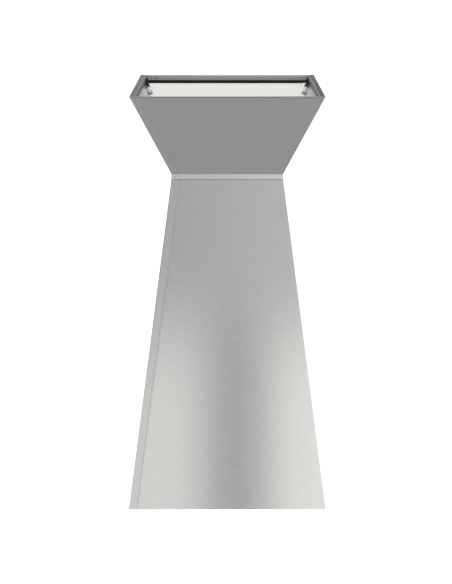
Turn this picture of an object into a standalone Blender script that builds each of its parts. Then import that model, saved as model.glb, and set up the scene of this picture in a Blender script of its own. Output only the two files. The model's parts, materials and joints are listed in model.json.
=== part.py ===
"""Island range hood, hung from a ceiling: an hourglass body of folded stainless sheet round a steel frame, a duct
and a centrifugal blower, with grease filters, lamps and push buttons in the underside.

The origin is the centre of the ceiling plane. +Z is up, so the whole hood lies at negative z. The front is -Y.
"""

import math

import bmesh
import bpy
from mathutils import Matrix, Vector

# Body, metres.
RIM_WIDTH = 0.554
WAIST_WIDTH = 0.330
MOUTH_WIDTH = 0.600
TOTAL_HEIGHT = 1.250
FLARE_HEIGHT = 0.2404
COLLAR_HEIGHT = 0.0169
SHEET = 0.0012
GAP = 0.0003

# Joggled lap seam of the body sheets.
RETURN_FLANGE = 0.024
SEAM_GAP = 0.0006
TONGUE = 0.018
JOGGLE_DEPTH = 0.0017
JOGGLE_RUN = 0.0024

# Ceiling rim and corner hangers.
RIM_FLANGE = 0.014
RIM_LIP = 0.0177
HANGER_WIDTH = 0.007
HANGER_THICKNESS = 0.002
HANGER_BEND_Z = -0.0225
HANGER_EYE_RADIUS = 0.006
HANGER_HOLE_RADIUS = 0.0031
HANGER_DROP = 0.0286

# Inner frame.
SLEEVE_HALF = 0.1612
SLEEVE_TOP_Z = -0.205
SLEEVE_BOTTOM_Z = -0.295
FRAME_HALF = 0.150
FRAME_TOP_Z = -0.110
HANGING_PLATE = 0.003
POST_LEG = 0.030
POST_WALL = 0.0025
DECK_Z = -0.520
DECK_SHEET = 0.002
DECK_SKIRT = 0.025

# Duct and damper.
DUCT_TOP_Z = -0.100
DUCT_INNER_RADIUS = 0.0749
DUCT_WALL = 0.0008
COLLAR_RADIUS = 0.0745
COLLAR_WALL = 0.0012
COLLAR_LENGTH = 0.060
DAMPER_Z = DECK_Z + 0.0285
FLAP_RADIUS = 0.0722
FLAP_THICKNESS = 0.001
FLAP_INNER_EDGE = 0.0030
DAMPER_PIN_RADIUS = 0.0015

# Blower: a double-inlet wheel turning about X in a scroll.
BLOWER_CENTRE = Vector((0.0, -0.075, -0.715))
SCROLL_START_RADIUS = 0.095
SCROLL_END_RADIUS = 0.130
SCROLL_TONGUE_Y = 0.020
SCROLL_HALF_WIDTH = 0.085
SCROLL_WALL = 0.0015
SCROLL_TOP_Z = -0.583
TRANSITION_WALL = 0.0012
INLET_RADIUS = 0.0600
WHEEL_RADIUS = 0.085
WHEEL_HALF_WIDTH = 0.0755
BLADE_COUNT = 24
SHAFT_RADIUS = 0.004
MOTOR_RADIUS = 0.042
MOTOR_END_X = 0.0888

# Underside.
PLATE_Z = -1.239
PLATE_SHEET = 0.0015
LEDGE_HEIGHT = 0.030
LEDGE_WIDTH = 0.018
FILTER_WIDTH = 0.213
FILTER_LENGTH = 0.400
FILTER_THICKNESS = 0.010
FILTER_CLEARANCE = 0.001
CENTRE_BAR = 0.015
BAFFLE_SLOTS = 8
LATCH_WIDTH = 0.030
LATCH_DEPTH = 0.012
LATCH_TRAVEL = 0.005
LAMP_OFFSET = 0.245
LAMP_HOLE_RADIUS = 0.0268
LAMP_LENS_RADIUS = 0.0240
CONTROL_Y = -0.245
BUTTON_PITCH = 0.045
BUTTON_RADIUS = 0.008
BUTTON_LENGTH = 0.0115
BUTTON_NAMES = ("button_power", "button_speed_down", "button_speed_up", "button_lamp")

COLLAR_BOTTOM_Z = -FLARE_HEIGHT - COLLAR_HEIGHT
FLARE_SLOPE = (RIM_WIDTH - WAIST_WIDTH) / 2 / FLARE_HEIGHT
FLARE_ANGLE = math.atan(FLARE_SLOPE)
PLATE_BOTTOM_Z = PLATE_Z - PLATE_SHEET

# Finish of each slot: colour, roughness, metallic.
FINISHES = {
    "stainless_sheet": ((0.60, 0.60, 0.59), 0.35, 1.0),
    "blackened_steel": ((0.05, 0.05, 0.05), 0.45, 1.0),
    "zinc_plated_steel": ((0.55, 0.57, 0.58), 0.40, 1.0),
    "galvanised_steel": ((0.52, 0.54, 0.55), 0.50, 1.0),
    "aluminium": ((0.75, 0.75, 0.74), 0.40, 1.0),
    "motor_paint": ((0.08, 0.08, 0.09), 0.55, 0.0),
    "wheel_plastic": ((0.06, 0.06, 0.06), 0.60, 0.0),
    "nylon": ((0.03, 0.03, 0.03), 0.50, 0.0),
    "frosted_lens": ((0.92, 0.91, 0.86), 0.40, 0.0),
    "control_glass": ((0.02, 0.02, 0.02), 0.10, 0.0),
    "box_plastic": ((0.70, 0.70, 0.68), 0.50, 0.0),
    "button_steel": ((0.65, 0.65, 0.64), 0.30, 1.0),
}

HOOD = bpy.data.collections.new("island_range_hood")
CUTTERS = bpy.data.collections.new("cutters")


def half_width(z):
    """Half of the body's outer width at a height: flare, collar band or canopy."""
    if z > -FLARE_HEIGHT:
        return RIM_WIDTH / 2 + z * FLARE_SLOPE
    if z > COLLAR_BOTTOM_Z:
        return WAIST_WIDTH / 2
    share = (COLLAR_BOTTOM_Z - z) / (TOTAL_HEIGHT + COLLAR_BOTTOM_Z)
    return (WAIST_WIDTH + (MOUTH_WIDTH - WAIST_WIDTH) * share) / 2


def clear_half(z):
    """Half of the width left free inside the body sheets and their seam tongues."""
    return half_width(z) - JOGGLE_DEPTH - SHEET - 2 * GAP


def clear_scene():
    for obj in list(bpy.data.objects):
        bpy.data.objects.remove(obj, do_unlink=True)
    bpy.context.scene.collection.children.link(HOOD)
    bpy.context.scene.collection.children.link(CUTTERS)
    CUTTERS.hide_render = True


def make_materials():
    for slot, (colour, roughness, metallic) in FINISHES.items():
        material = bpy.data.materials.new(slot)
        material.use_nodes = True
        shader = material.node_tree.nodes["Principled BSDF"]
        shader.inputs["Base Color"].default_value = (*colour, 1.0)
        shader.inputs["Roughness"].default_value = roughness
        shader.inputs["Metallic"].default_value = metallic


def datum(name, location):
    """An empty that the pieces round one axis hang from."""
    empty = bpy.data.objects.new(name, None)
    empty.empty_display_size = 0.02
    empty.location = location
    HOOD.objects.link(empty)
    return empty


def add_object(name, data, slot, location=(0, 0, 0), rotation=(0, 0, 0), parent=None):
    obj = bpy.data.objects.new(name, data)
    obj.location = location
    obj.rotation_euler = rotation
    obj.parent = parent
    data.materials.append(bpy.data.materials[slot])
    HOOD.objects.link(obj)
    return obj


def as_cutter(obj):
    """Moves an object to the cutters, where it shapes others and isn't a piece."""
    HOOD.objects.unlink(obj)
    CUTTERS.objects.link(obj)
    obj.hide_render = True
    obj.display_type = "WIRE"
    return obj


def boolean(obj, other, operation):
    modifier = obj.modifiers.new(f"{operation.lower()}_{other.name}", "BOOLEAN")
    modifier.operation = operation
    modifier.object = as_cutter(other)


def add_box(bm, low, high):
    size = Vector(high) - Vector(low)
    centre = (Vector(high) + Vector(low)) / 2
    bmesh.ops.create_cube(bm, size=1.0, matrix=Matrix.Translation(centre) @ Matrix.Diagonal((*size, 1.0)))


def boxes(name, pairs, slot, **place):
    """Boxes given by their low and high corners, in one mesh."""
    bm = bmesh.new()
    for low, high in pairs:
        add_box(bm, low, high)
    mesh = bpy.data.meshes.new(name)
    bm.to_mesh(mesh)
    bm.free()
    return add_object(name, mesh, slot, **place)


def rod(name, radius, low, high, slot, segments=32, **place):
    """A round bar along its own Z axis from low to high."""
    bm = bmesh.new()
    middle = Matrix.Translation((0, 0, (low + high) / 2))
    bmesh.ops.create_cone(
        bm, cap_ends=True, segments=segments, radius1=radius, radius2=radius, depth=high - low, matrix=middle
    )
    mesh = bpy.data.meshes.new(name)
    bm.to_mesh(mesh)
    bm.free()
    mesh.shade_smooth()
    mesh.set_sharp_from_angle(angle=math.radians(40))
    return add_object(name, mesh, slot, **place)


def turned(name, profiles, slot, steps=48, **place):
    """A body turned about its own Z axis. Each profile lists (radius, z) down its outer side and back up its inner
    side; one that starts and ends on the axis stays open there."""
    points = []
    edges = []
    for profile in profiles:
        first = len(points)
        points += [(radius, 0.0, z) for radius, z in profile]
        last = len(points) - 1
        edges += [(i, i + 1) for i in range(first, last)]
        if profile[0][0] > 0:
            edges.append((last, first))
    mesh = bpy.data.meshes.new(name)
    mesh.from_pydata(points, edges, [])
    obj = add_object(name, mesh, slot, **place)
    screw = obj.modifiers.new("turn", "SCREW")
    screw.steps = steps
    screw.render_steps = steps
    screw.use_merge_vertices = True
    screw.merge_threshold = 0.00001
    return obj


def circle(radius, centre=(0.0, 0.0), points=32):
    angles = [2 * math.pi * i / points for i in range(points)]
    return [(centre[0] + radius * math.cos(a), centre[1] + radius * math.sin(a)) for a in angles]


def arc(radius, centre, start, end, points):
    """Points on an arc from one angle to another, in radians, both ends included."""
    angles = [start + (end - start) * i / (points - 1) for i in range(points)]
    return [(centre[0] + radius * math.cos(a), centre[1] + radius * math.sin(a)) for a in angles]


def rectangle(width, height, centre=(0.0, 0.0)):
    x, y = centre
    return [
        (x - width / 2, y - height / 2),
        (x + width / 2, y - height / 2),
        (x + width / 2, y + height / 2),
        (x - width / 2, y + height / 2),
    ]


def plate(name, loops, thickness, slot, **place):
    """A flat plate cut to closed outlines in its own XY plane, inner outlines being holes. Its middle is at z = 0."""
    curve = bpy.data.curves.new(name, "CURVE")
    curve.dimensions = "2D"
    curve.fill_mode = "BOTH"
    curve.extrude = thickness / 2
    for loop in loops:
        spline = curve.splines.new("POLY")
        spline.points.add(len(loop) - 1)
        for point, (x, y) in zip(spline.points, loop):
            point.co = (x, y, 0.0, 1.0)
        spline.use_cyclic_u = True
    return add_object(name, curve, slot, **place)


def solid_plate(name, loops, thickness, slot, **place):
    """A plate made a mesh, so that a Boolean can cut or join it."""
    source = plate(name + "_outline", loops, thickness, slot, **place)
    bpy.context.view_layer.update()
    evaluated = source.evaluated_get(bpy.context.evaluated_depsgraph_get())
    mesh = bpy.data.meshes.new_from_object(evaluated)
    bm = bmesh.new()
    bm.from_mesh(mesh)
    bmesh.ops.remove_doubles(bm, verts=bm.verts, dist=0.00001)
    bm.to_mesh(mesh)
    bm.free()
    obj = bpy.data.objects.new(name, mesh)
    obj.matrix_world = source.matrix_world.copy()
    HOOD.objects.link(obj)
    bpy.data.objects.remove(source, do_unlink=True)
    return obj


def skin(name, rings, thickness, slot, around=False, cap=False, **place):
    """Sheet metal: a strip of faces from ring to ring, thickened inwards, away from its outer face. With around,
    each ring closes on itself; with cap, the first ring is filled."""
    bm = bmesh.new()
    rows = [[bm.verts.new(point) for point in ring] for ring in rings]
    count = len(rows[0])
    for upper, lower in zip(rows, rows[1:]):
        for i in range(count if around else count - 1):
            j = (i + 1) % count
            bm.faces.new((upper[i], lower[i], lower[j], upper[j]))
    if cap:
        bm.faces.new(rows[0])
    mesh = bpy.data.meshes.new(name)
    bm.to_mesh(mesh)
    bm.free()
    obj = add_object(name, mesh, slot, **place)
    wall = obj.modifiers.new("wall", "SOLIDIFY")
    wall.thickness = thickness
    wall.offset = -1.0
    wall.use_even_offset = True
    wall.use_quality_normals = True
    return obj


def square_ring(half, z):
    """Corners of a level square, anticlockwise from above."""
    return [(-half, -half, z), (half, -half, z), (half, half, z), (-half, half, z)]


def body_sheet_outline(half):
    """Outer face of the front-right sheet at one height: seam tongue, joggle, front, right side, return flange."""
    seam = half - RETURN_FLANGE
    return [
        (-seam - TONGUE, -half + JOGGLE_DEPTH),
        (-seam, -half + JOGGLE_DEPTH),
        (-seam + JOGGLE_RUN, -half),
        (half, -half),
        (half, half),
        (seam + SEAM_GAP, half),
    ]


def make_body():
    """Flare and canopy are each two L-shaped sheets, the back-left one being the front-right one turned half round."""
    flare_top = -SHEET - 0.0014
    canopy_top = COLLAR_BOTTOM_Z - 2 * GAP
    canopy_bottom = -TOTAL_HEIGHT + 0.00032
    for section, top, bottom in (("upper", flare_top, -FLARE_HEIGHT), ("lower", canopy_top, canopy_bottom)):
        rings = [[(x, y, z) for x, y in body_sheet_outline(half_width(z))] for z in (top, bottom)]
        for name, turn in (("front_right_panel", 0.0), ("back_left_panel", math.pi)):
            skin(f"{section}_{name}", rings, SHEET, "stainless_sheet", rotation=(0, 0, turn))
    band = (-FLARE_HEIGHT - GAP, COLLAR_BOTTOM_Z + GAP)
    skin("waist_collar", [square_ring(WAIST_WIDTH / 2, z) for z in band], 0.0015, "stainless_sheet", around=True)
    sleeve = [square_ring(SLEEVE_HALF, z) for z in (SLEEVE_TOP_Z, SLEEVE_BOTTOM_Z)]
    skin("waist_sleeve", sleeve, SHEET, "galvanised_steel", around=True)


def make_rim():
    """A square rim frame: a flat flange against the ceiling with a lip turned down at its inner edge."""
    outer = RIM_WIDTH / 2
    inner = outer - RIM_FLANGE
    rings = [square_ring(inner, -RIM_LIP), square_ring(inner, 0.0), square_ring(outer, 0.0)]
    skin("rim_frame", rings, SHEET, "stainless_sheet", around=True)


def hanger_strap(name, side):
    """A strap in a back corner: a tab in front of the rim's lip, then a leg down the wall to an eye. side is the sign
    of x. The leg's own plane has Y up the wall, and it leans along the corner as the walls do."""
    lip_face = RIM_WIDTH / 2 - RIM_FLANGE
    plane_y = lip_face - GAP - HANGER_THICKNESS / 2 - SHEET
    tab_x = side * 0.257
    leg_length = HANGER_DROP / math.cos(FLARE_ANGLE)
    lean = -side * HANGER_DROP * FLARE_SLOPE
    eye = (lean, -leg_length)
    top = 0.001
    outline = [(-HANGER_WIDTH / 2, top), (-HANGER_WIDTH / 2 + lean * 0.7, -leg_length * 0.7)]
    outline += arc(HANGER_EYE_RADIUS, eye, math.radians(150), math.radians(390), 17)
    outline += [(HANGER_WIDTH / 2 + lean * 0.7, -leg_length * 0.7), (HANGER_WIDTH / 2, top)]
    hole = circle(HANGER_HOLE_RADIUS, eye, 16)
    bend = Vector((tab_x, plane_y, HANGER_BEND_Z))
    leg_turn = (math.pi / 2 - FLARE_ANGLE, 0, 0)
    strap = solid_plate(name, [outline, hole], HANGER_THICKNESS, "blackened_steel", location=bend, rotation=leg_turn)
    low = (tab_x - HANGER_WIDTH / 2, plane_y - HANGER_THICKNESS / 2, HANGER_BEND_Z - 0.0004)
    high = (tab_x + HANGER_WIDTH / 2, plane_y + HANGER_THICKNESS / 2, -0.002)
    boolean(strap, boxes(name + "_tab", [(low, high)], "blackened_steel"), "UNION")
    screw_place = strap.matrix_world @ Matrix.Translation((eye[0], eye[1], 0))
    return strap, screw_place


def make_hangers():
    """One strap and screw in each corner, the front pair being the back pair turned half round."""
    head_radius = 0.0050
    shank_radius = HANGER_HOLE_RADIUS - 0.0004
    seat = HANGER_THICKNESS / 2 + GAP
    profile = [(0, seat + 0.0024), (0.0030, seat + 0.0022), (head_radius, seat + 0.0012), (head_radius, seat)]
    profile += [(shank_radius, seat), (shank_radius, -HANGER_THICKNESS / 2), (0, -HANGER_THICKNESS / 2)]
    for back, front, side in (("back_left", "front_right", -1), ("back_right", "front_left", 1)):
        for corner, turn in ((back, 0.0), (front, math.pi)):
            strap, place = hanger_strap(f"hanger_strap_{corner}", side)
            half_turn = datum(f"{corner}_corner", (0, 0, 0))
            screw = turned(f"hanger_screw_{corner}", [profile], "zinc_plated_steel", steps=16)
            screw.matrix_world = place
            tab = strap.modifiers[0].object
            half_turn.rotation_euler = (0, 0, turn)
            for obj in (strap, screw, tab):
                obj.parent = half_turn


def make_frame():
    """Hanging plate, four angle posts and the blower deck."""
    plate_middle = FRAME_TOP_Z - HANGING_PLATE / 2
    rod_holes = [circle(0.0045, spot, 12) for spot in ((0, 0.125), (0, -0.125), (0.125, 0), (-0.125, 0))]
    loops = [rectangle(2 * FRAME_HALF, 2 * FRAME_HALF), circle(0.080, points=40)] + rod_holes
    plate("hanging_plate", loops, HANGING_PLATE, "galvanised_steel", location=(0, 0, plate_middle))
    top = FRAME_TOP_Z - HANGING_PLATE - GAP
    bottom = DECK_Z + GAP
    for name, turn in (("front_left", 0), ("front_right", 1), ("back_right", 2), ("back_left", 3)):
        corner = -FRAME_HALF
        leg = corner + POST_LEG
        wall = corner + POST_WALL
        angle = [(corner, corner), (leg, corner), (leg, wall), (wall, wall), (wall, leg), (corner, leg)]
        place = {"location": (0, 0, (top + bottom) / 2), "rotation": (0, 0, turn * math.pi / 2)}
        plate(f"post_{name}", [angle], top - bottom, "galvanised_steel", **place)
    skirt_z = DECK_Z - DECK_SKIRT
    rings = [square_ring(clear_half(z), z) for z in (DECK_Z, skirt_z)]
    deck = skin("blower_deck", rings, DECK_SHEET, "galvanised_steel", around=True, cap=True)
    hole = rod("deck_hole", COLLAR_RADIUS + 0.0005, -0.02, 0.02, "galvanised_steel", 48, location=(0, 0, DECK_Z))
    boolean(deck, hole, "DIFFERENCE")


def make_duct():
    """Outlet collar on the deck with a stop ledge, two damper flaps on one pin, and the duct over the collar."""
    inner = COLLAR_RADIUS - COLLAR_WALL
    ledge = DAMPER_Z - DECK_Z - DAMPER_PIN_RADIUS - GAP
    profile = [(COLLAR_RADIUS, COLLAR_LENGTH), (COLLAR_RADIUS, 0.0018), (0.092, 0.0018), (0.092, GAP), (inner, GAP)]
    profile += [(inner, ledge - 0.0015), (inner - 0.0035, ledge - 0.0015), (inner - 0.0035, ledge), (inner, ledge)]
    profile += [(inner, COLLAR_LENGTH)]
    turned("outlet_collar", [profile], "galvanised_steel", location=(0, 0, DECK_Z))
    pin_half = inner - 2 * GAP
    pin_place = {"location": (0, 0, DAMPER_Z), "rotation": (math.pi / 2, 0, 0)}
    rod("damper_pin", DAMPER_PIN_RADIUS, -pin_half, pin_half, "zinc_plated_steel", 12, **pin_place)
    lean = math.acos(FLAP_INNER_EDGE / FLAP_RADIUS)
    for name, start in (("damper_flap_right", -lean), ("damper_flap_left", math.pi - lean)):
        outline = arc(FLAP_RADIUS, (0, 0), start, start + 2 * lean, 33)
        plate(name, [outline], FLAP_THICKNESS, "aluminium", location=(0, 0, DAMPER_Z))
    outer = DUCT_INNER_RADIUS + DUCT_WALL
    bottom = DECK_Z + 0.010
    duct = [(outer, DUCT_TOP_Z), (outer, bottom), (DUCT_INNER_RADIUS, bottom), (DUCT_INNER_RADIUS, DUCT_TOP_Z)]
    turned("duct_tube", [duct], "aluminium")


def make_transition():
    """Loft from the scroll's rectangular outlet to the round deck hole."""
    per_side = 8
    bottom_z = SCROLL_TOP_Z + 0.0012
    top_z = DECK_Z - DECK_SHEET - 0.0012
    half_x = SCROLL_HALF_WIDTH + TRANSITION_WALL
    half_y = 0.055 + TRANSITION_WALL
    corners = [(half_x, half_y), (-half_x, half_y), (-half_x, -half_y), (half_x, -half_y)]
    lower = []
    for (x0, y0), (x1, y1) in zip(corners, corners[1:] + corners[:1]):
        shares = [i / per_side for i in range(per_side)]
        lower += [(x0 + (x1 - x0) * s, y0 + (y1 - y0) * s, bottom_z) for s in shares]
    round_top = arc(COLLAR_RADIUS, (0, 0), math.pi / 4, math.pi / 4 + 2 * math.pi, 4 * per_side + 1)[:-1]
    upper = [(x, y, top_z) for x, y in round_top]
    skin("outlet_transition", [upper, lower], TRANSITION_WALL, "galvanised_steel", around=True)


def scroll_outline(offset, top):
    """Side view of the scroll about the wheel's axis, grown outwards by offset: a spiral whose radius rises evenly in
    proportion from the tongue round to the outlet, then straight walls up to the outlet."""
    start_radius = SCROLL_START_RADIUS + offset
    tongue_y = SCROLL_TONGUE_Y - offset
    start = math.acos(tongue_y / start_radius)
    growth = math.log((SCROLL_END_RADIUS + offset) / start_radius) / (2 * math.pi - start)
    steps = 40
    outline = [(tongue_y, top)]
    for i in range(steps + 1):
        angle = start + (2 * math.pi - start) * i / steps
        radius = start_radius * math.exp(growth * (angle - start))
        outline.append((radius * math.cos(angle), radius * math.sin(angle)))
    outline.append((SCROLL_END_RADIUS + offset, top))
    return outline


def make_scroll(axis):
    """Two casing halves that meet at the middle of the wheel, each with an inlet ring."""
    top = SCROLL_TOP_Z - BLOWER_CENTRE.z
    across = (math.pi / 2, 0, math.pi / 2)
    for side, sign in (("left", -1), ("right", 1)):
        outer_half = (SCROLL_HALF_WIDTH + SCROLL_WALL - GAP / 2) / 2
        middle = sign * (GAP / 2 + outer_half)
        place = {"location": BLOWER_CENTRE + Vector((middle, 0, 0)), "rotation": across}
        name = f"blower_casing_{side}"
        casing = solid_plate(name, [scroll_outline(SCROLL_WALL, top)], 2 * outer_half, "galvanised_steel", **place)
        hollow_place = {"location": BLOWER_CENTRE, "rotation": across}
        hollow_outline = scroll_outline(0.0, top + 0.01)
        hollow = solid_plate(name + "_hollow", [hollow_outline], 2 * SCROLL_HALF_WIDTH, "galvanised_steel", **hollow_place)
        boolean(casing, hollow, "DIFFERENCE")
        reach = sorted((sign * (SCROLL_HALF_WIDTH - 0.01), sign * (SCROLL_HALF_WIDTH + 0.01)))
        hole_place = {"location": BLOWER_CENTRE, "rotation": (0, math.pi / 2, 0)}
        hole = rod(name + "_inlet", INLET_RADIUS + 0.002, *reach, "galvanised_steel", 48, **hole_place)
        boolean(casing, hole, "DIFFERENCE")
        face = SCROLL_HALF_WIDTH + SCROLL_WALL + GAP
        bell = [(0.074, face + 0.002), (0.074, face), (INLET_RADIUS + 0.0015, face), (INLET_RADIUS + 0.0015, 0.080)]
        bell += [(INLET_RADIUS, 0.080), (INLET_RADIUS, face + 0.0005), (INLET_RADIUS + 0.0015, face + 0.002)]
        turned(f"inlet_ring_{side}", [bell], "galvanised_steel", parent=axis, rotation=(0, sign * math.pi / 2, 0))


def make_wheel(axis):
    """Squirrel-cage wheel on its shaft: hub with middle disc, two end rings, and slanted blades round the rim."""
    disc = [(0.012, 0.0035), (0.012, 0.001), (0.080, 0.001), (0.080, -0.001), (0.012, -0.001), (0.012, -0.010)]
    bore = SHAFT_RADIUS + GAP
    hub = disc + [(bore, -0.010), (bore, 0.0035)]
    rings = []
    for inner_z in (-WHEEL_HALF_WIDTH, WHEEL_HALF_WIDTH - 0.003):
        outer_z = inner_z + 0.003
        rings.append([(WHEEL_RADIUS, outer_z), (WHEEL_RADIUS, inner_z), (0.076, inner_z), (0.076, outer_z)])
    turn = (0, math.pi / 2, 0)
    wheel = turned("blower_wheel", [hub] + rings, "wheel_plastic", parent=axis, rotation=turn)
    bm = bmesh.new()
    blade_size = Matrix.Diagonal((0.0088, 0.0012, 2 * WHEEL_HALF_WIDTH - 0.002, 1.0))
    for i in range(BLADE_COUNT):
        around = Matrix.Rotation(2 * math.pi * (i + 0.5) / BLADE_COUNT, 4, "Z")
        slant = Matrix.Rotation(math.radians(25), 4, "Z")
        bmesh.ops.create_cube(bm, size=1.0, matrix=around @ Matrix.Translation((0.0803, 0, 0)) @ slant @ blade_size)
    mesh = bpy.data.meshes.new("blades")
    bm.to_mesh(mesh)
    bm.free()
    blades = add_object("wheel_blades", mesh, "wheel_plastic", parent=axis, rotation=turn)
    boolean(wheel, blades, "UNION")
    rod("wheel_shaft", SHAFT_RADIUS, -0.014, 0.024, "zinc_plated_steel", 24, parent=axis, rotation=turn)


def make_motor(axis):
    """Motor inside the wheel's right half, held by a three-armed spider across the right inlet."""
    turn = (0, math.pi / 2, 0)
    profile = [(0, MOTOR_END_X), (MOTOR_RADIUS - 0.003, MOTOR_END_X), (MOTOR_RADIUS, MOTOR_END_X - 0.003)]
    profile += [(MOTOR_RADIUS, 0.013), (MOTOR_RADIUS - 0.003, 0.010), (0.012, 0.010), (0.012, 0.0045)]
    profile += [(SHAFT_RADIUS + GAP, 0.0045), (SHAFT_RADIUS + GAP, 0.0245), (0, 0.0245)]
    turned("blower_motor", [profile], "motor_paint", steps=36, parent=axis, rotation=turn)
    low = SCROLL_HALF_WIDTH + SCROLL_WALL + 2 * GAP + 0.002
    spider = rod("motor_spider", 0.030, low, low + 0.002, "zinc_plated_steel", 32, parent=axis, rotation=turn)
    bm = bmesh.new()
    for i in range(3):
        arm = bmesh.ops.create_cube(bm, size=1.0, matrix=Matrix.Diagonal((0.052, 0.012, 0.002, 1.0)))
        place = Matrix.Rotation(math.radians(120 * i + 60), 4, "Z") @ Matrix.Translation((0.046, 0, low + 0.001))
        bmesh.ops.transform(bm, matrix=place, verts=arm["verts"])
    mesh = bpy.data.meshes.new("spider_arms")
    bm.to_mesh(mesh)
    bm.free()
    arms = add_object("spider_arms", mesh, "zinc_plated_steel", parent=axis, rotation=turn)
    boolean(spider, arms, "UNION")


def make_blower():
    axis = datum("blower_axis", BLOWER_CENTRE)
    make_transition()
    make_scroll(axis)
    make_wheel(axis)
    make_motor(axis)
    deck_face = DECK_Z - DECK_SHEET - GAP
    inner = SCROLL_HALF_WIDTH + SCROLL_WALL + 2 * GAP
    thickness = 0.002
    foot = inner + 0.028
    bottom = deck_face - 0.132
    outline = [(inner, bottom), (inner + thickness, bottom), (inner + thickness, deck_face - thickness)]
    outline += [(foot, deck_face - thickness), (foot, deck_face), (inner, deck_face)]
    for side, sign in (("left", -1), ("right", 1)):
        loop = [(sign * x, z) for x, z in outline]
        place = {"location": (0, 0.0175, 0), "rotation": (math.pi / 2, 0, 0)}
        plate(f"blower_bracket_{side}", [loop], 0.055, "zinc_plated_steel", **place)
    can = [(0, deck_face), (0.018, deck_face), (0.018, deck_face - 0.058), (0.016, deck_face - 0.060)]
    can += [(0.006, deck_face - 0.060), (0.006, deck_face - 0.064), (0, deck_face - 0.064)]
    turned("motor_capacitor", [can], "aluminium", steps=32, location=(0.150, 0.120, 0))


def make_wiring():
    """Junction box on the deck, open towards the duct, and the gland for the supply cable."""
    middle = (0, 0.1225)
    low = Vector((middle[0] - 0.05, middle[1] - 0.0275, DECK_Z + GAP))
    high = Vector((middle[0] + 0.05, middle[1] + 0.0275, DECK_Z + GAP + 0.090))
    wall = 0.002
    box = boxes("junction_box", [(low, high)], "box_plastic")
    inner_low = low + Vector((wall, -0.01, wall))
    inner_high = high - Vector((wall, wall, wall))
    boolean(box, boxes("junction_box_hollow", [(inner_low, inner_high)], "box_plastic"), "DIFFERENCE")
    entry = rod("junction_box_entry", 0.0062, high.z - 0.01, high.z + 0.01, "nylon", 24, location=(*middle, 0))
    boolean(box, entry, "DIFFERENCE")
    seat = high.z + GAP
    gland = [(0.0085, seat + 0.022), (0.011, seat + 0.016), (0.011, seat), (0.0045, seat), (0.0045, seat + 0.022)]
    turned("cable_gland", [gland], "nylon", steps=24, location=(*middle, 0))


def make_underside():
    """Ledge round the canopy's foot, and the plate under it with openings for filters, lamps and buttons."""
    ledge_foot = PLATE_Z + GAP
    ledge_top = ledge_foot + LEDGE_HEIGHT
    rings = [square_ring(clear_half(ledge_top), ledge_top), square_ring(clear_half(ledge_foot), ledge_foot)]
    rings.append(square_ring(clear_half(ledge_foot) - LEDGE_WIDTH, ledge_foot))
    skin("plate_ledge", rings, SHEET, "stainless_sheet", around=True)
    width = 2 * clear_half(PLATE_Z)
    loops = [rectangle(width, width)]
    opening = (FILTER_WIDTH + 2 * FILTER_CLEARANCE, FILTER_LENGTH + 2 * FILTER_CLEARANCE)
    filter_x = CENTRE_BAR / 2 + opening[0] / 2
    loops += [rectangle(*opening, (sign * filter_x, 0)) for sign in (-1, 1)]
    for x in (-LAMP_OFFSET, LAMP_OFFSET):
        loops += [circle(LAMP_HOLE_RADIUS, (x, y)) for y in (-LAMP_OFFSET, LAMP_OFFSET)]
    loops.append(rectangle(3 * BUTTON_PITCH + 0.030, 0.0185, (0, CONTROL_Y)))
    middle = (0, 0, PLATE_Z - PLATE_SHEET / 2)
    plate("underside_plate", loops, PLATE_SHEET, "stainless_sheet", location=middle)


def make_filters():
    """Baffle filters hinged at their outer lower edge, each with a sliding latch in a notch of its inner edge. Both
    ride on an empty on the hinge line; sign is the side of x."""
    for side, sign in (("left", -1), ("right", 1)):
        hinge_x = sign * (CENTRE_BAR / 2 + FILTER_CLEARANCE + FILTER_WIDTH)
        hinge = datum(f"filter_hinge_{side}", (hinge_x, 0, PLATE_BOTTOM_Z))
        place = {"location": (0, 0, FILTER_THICKNESS / 2), "parent": hinge}
        inner = -sign * FILTER_WIDTH
        notch = inner + sign * (LATCH_DEPTH + LATCH_TRAVEL + 0.001)
        half = FILTER_LENGTH / 2
        gate = LATCH_WIDTH / 2 + 0.0005
        outline = [(0, -half), (inner, -half), (inner, -gate), (notch, -gate)]
        outline += [(notch, gate), (inner, gate), (inner, half), (0, half)]
        pitch = (FILTER_WIDTH - 0.050) / BAFFLE_SLOTS
        first = 0.015 + pitch / 2
        centres = [-sign * (first + pitch * i) for i in range(BAFFLE_SLOTS)]
        slots = [rectangle(pitch * 0.45, FILTER_LENGTH - 0.050, (x, 0)) for x in centres]
        plate(f"grease_filter_{side}", [outline] + slots, FILTER_THICKNESS, "aluminium", **place)
        nose = inner - sign * 0.0005
        heel = nose + sign * LATCH_DEPTH
        body_x = sorted((nose, heel))
        grip_x = sorted((heel - sign * 0.003, heel))
        body = ((body_x[0], -LATCH_WIDTH / 2, -0.0045), (body_x[1], LATCH_WIDTH / 2, 0.0040))
        grip = ((grip_x[0], -LATCH_WIDTH / 2, -0.0085), (grip_x[1], LATCH_WIDTH / 2, -0.0040))
        latch = boxes(f"filter_latch_{side}", [body], "zinc_plated_steel", **place)
        boolean(latch, boxes(f"filter_latch_grip_{side}", [grip], "zinc_plated_steel", **place), "UNION")


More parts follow.
